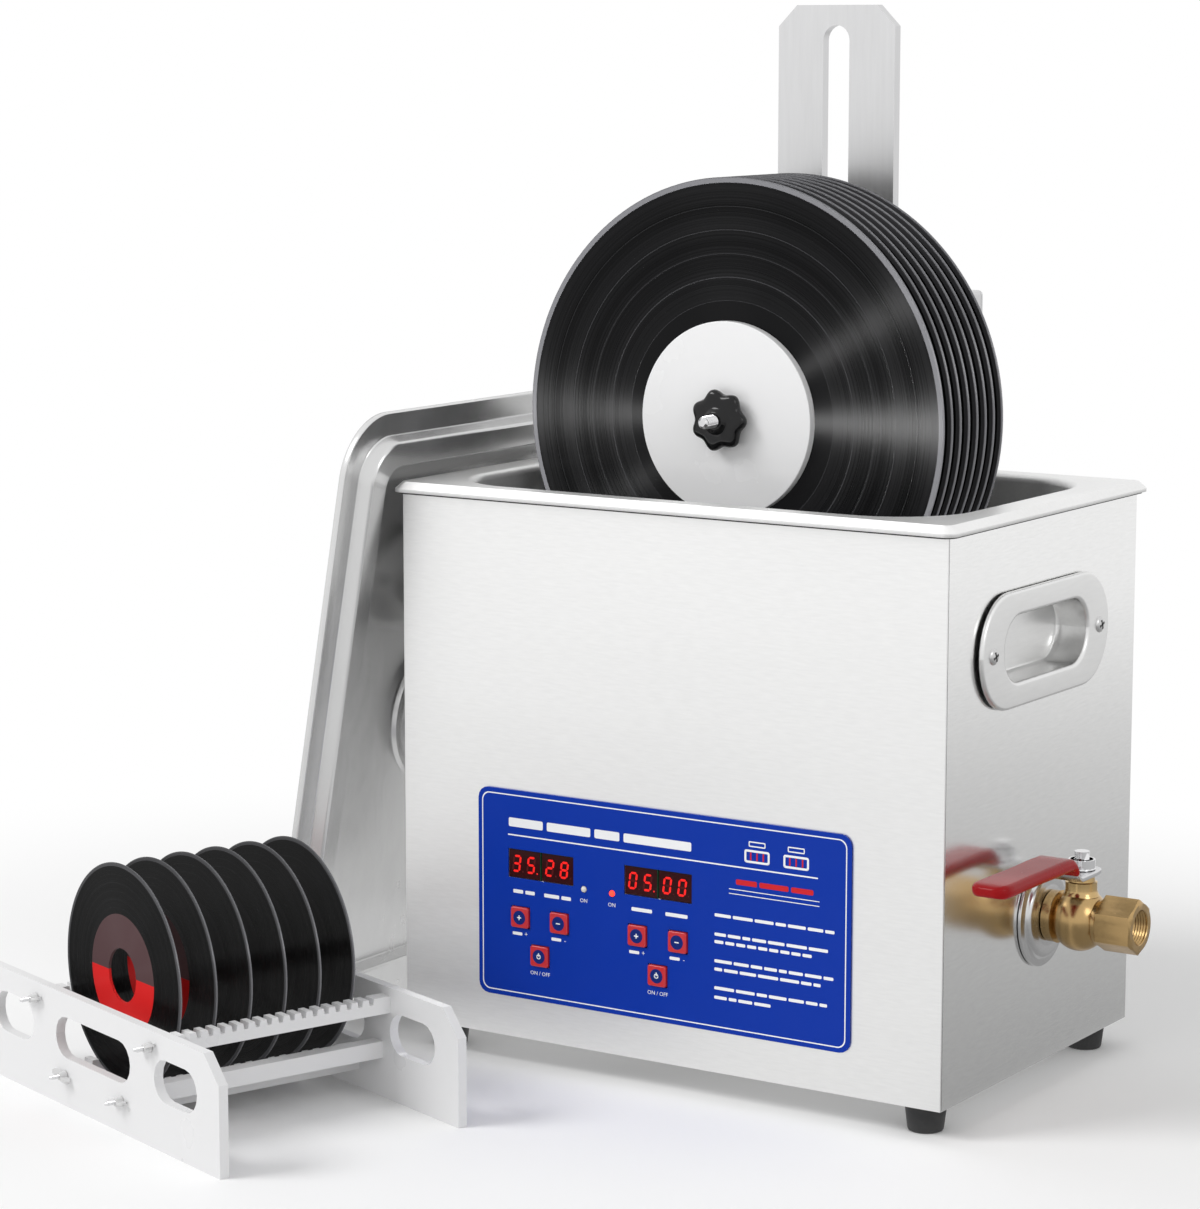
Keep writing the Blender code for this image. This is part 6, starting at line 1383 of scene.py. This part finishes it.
# Disc rack: two cut white acrylic plates with oval windows, joined by notched bars whose ends are
# drawn up by small wing nuts. Six small discs with large holes stand in the notches.
RACK_FOOT = Vector((-0.2655, -0.151, 0))
RACK_TURN = math.radians(-20)
RACK_LENGTH = 0.240
RACK_DEPTH = 0.140
HIGH_BAR = (0.0568, 0.0495)
LOW_BAR = (0.0280, 0.0160)
BOLT_RADIUS = 0.0011
BOLT_LENGTH = 0.0085
BOLT_PITCH = 0.0007
WING_HUB = 0.0026
WING_HEIGHT = 0.0036
WING_SPAN = 0.0060
WING_THICKNESS = 0.0012
DISC_COUNT = 6
DISC_RADIUS = 0.056
DISC_BORE = 0.0135
DISC_THICKNESS = 0.0014
DISC_LABEL = 0.0305
DISC_LAND = 0.0335
DISC_BEAD = 0.0018
DISC_SHINE = 0.05
DISC_Z = 0.0702
DISC_START = 0.0182
DISC_STEP = 0.0198
RACK_PLACE = Matrix.Translation(RACK_FOOT) @ Matrix.Rotation(RACK_TURN, 4, "Z")

acrylic = moulded("white acrylic", (0.77, 0.77, 0.775, 1), 0.30, grain_size=400.0, relief=0.000004,
                  dust=0.0, worn=0.0)
dressed("rack_front_plate", acrylic, 0.0004)
dressed("rack_rear_plate", acrylic, 0.0002)


def wing_nut(place):
    """A turned hub with two flat round-ended wings, before it is placed with its axis along Z."""
    shape = spun([(BOLT_RADIUS, 0), (WING_HUB, 0), (WING_HUB, 0.0008), (WING_HUB * 0.72, WING_HEIGHT),
                  (BOLT_RADIUS, WING_HEIGHT), (BOLT_RADIUS, 0)], 28)
    for side in (-1, 1):
        before = set(shape.verts)
        disc = bmesh.ops.create_circle(shape, cap_ends=True, segments=28, radius=WING_SPAN / 2)["verts"]
        bmesh.ops.scale(shape, vec=(1, 0.78, 1), verts=disc)
        swept = bmesh.ops.extrude_face_region(shape, geom=list({f for v in disc for f in v.link_faces}))
        top = [part for part in swept["geom"] if isinstance(part, bmesh.types.BMVert)]
        bmesh.ops.translate(shape, vec=(0, 0, WING_THICKNESS), verts=top)
        wing = [v for v in shape.verts if v not in before]
        spot = (side * (WING_HUB + WING_SPAN * 0.28), WING_THICKNESS / 2, WING_HEIGHT * 0.62)
        bmesh.ops.transform(shape, matrix=Matrix.Translation(spot) @ FRONT, verts=wing)
    bmesh.ops.recalc_face_normals(shape, faces=shape.faces)
    bmesh.ops.transform(shape, matrix=place, verts=shape.verts)
    return shape


def thread_rod(length, place):
    """A small bolt's end: a core with ring-shaped crests, close enough to a thread at this size."""
    profile = [(0, 0), (BOLT_RADIUS, 0)]
    core = BOLT_RADIUS * 0.8
    for turn in range(int(length / BOLT_PITCH) - 1):
        profile += [(BOLT_RADIUS, (turn + 0.4) * BOLT_PITCH), (core, (turn + 0.8) * BOLT_PITCH)]
    profile += [(core, length - 0.0004), (BOLT_RADIUS * 0.5, length), (0, length)]
    return spun(profile, 20, place)


wing_white = moulded("clear wing nut", (0.66, 0.66, 0.66, 1), 0.2, grain_size=300.0, relief=0.000002,
                     dust=0.05, worn=0.0, coat=0.4)
middle = RACK_LENGTH / 2
for number, (along, level, tilt) in enumerate((
        (middle - HIGH_BAR[0], HIGH_BAR[1], 12), (middle + HIGH_BAR[0], HIGH_BAR[1], 24),
        (middle - LOW_BAR[0], LOW_BAR[1], -15), (middle + LOW_BAR[0], LOW_BAR[1], 6))):
    turned = FRONT @ Matrix.Rotation(math.radians(tilt), 4, "Z")
    front = RACK_PLACE @ Matrix.Translation((along, -SEAM, level)) @ turned
    finished(f"wing_nut_{number + 1}", wing_nut(front), wing_white, "disc_rack")
    bolt = thread_rod(BOLT_LENGTH, front @ at_level(SEAM))
    finished(f"wing_bolt_{number + 1}", bolt, chrome, "disc_rack")
    back = RACK_PLACE @ Matrix.Translation((along, RACK_DEPTH + SEAM, level)) @ REAR
    finished(f"bar_screw_{number + 1}", cross_screw(0.0026, 0.0012, back), screw_steel, "disc_rack")

disc_axis = RACK_PLACE.to_3x3() @ Vector((0, 1, 0))
disc_centre = RACK_PLACE @ Vector((RACK_LENGTH / 2, 0, DISC_Z))
disc_vinyl = vinyl("small disc vinyl", disc_centre, disc_axis, DISC_LAND, DISC_RADIUS - DISC_BEAD,
                   (DISC_LABEL, (0.070, 0.040, 0.042, 1), (0.50, 0.016, 0.016, 1)), DISC_SHINE)
plain_vinyl = vinyl("plain disc vinyl", disc_centre, disc_axis, DISC_LAND, DISC_RADIUS - DISC_BEAD,
                    shine=DISC_SHINE)
for number in range(DISC_COUNT):
    spot = (middle, DISC_START + number * DISC_STEP, DISC_Z)
    place = RACK_PLACE @ Matrix.Translation(spot) @ FRONT
    shape = pressed_disc(DISC_BORE, DISC_LABEL, DISC_BEAD, DISC_RADIUS, DISC_THICKNESS, place)
    small = finished(f"small_disc_{number + 1}_pressing", shape, disc_vinyl if number < 2 else plain_vinyl,
                     f"rack_disc_{number + 1}", f"small_disc_{number + 1}")
    small.visible_glossy = False
    grooved_discs.objects.link(small)
    small_discs.objects.link(small)
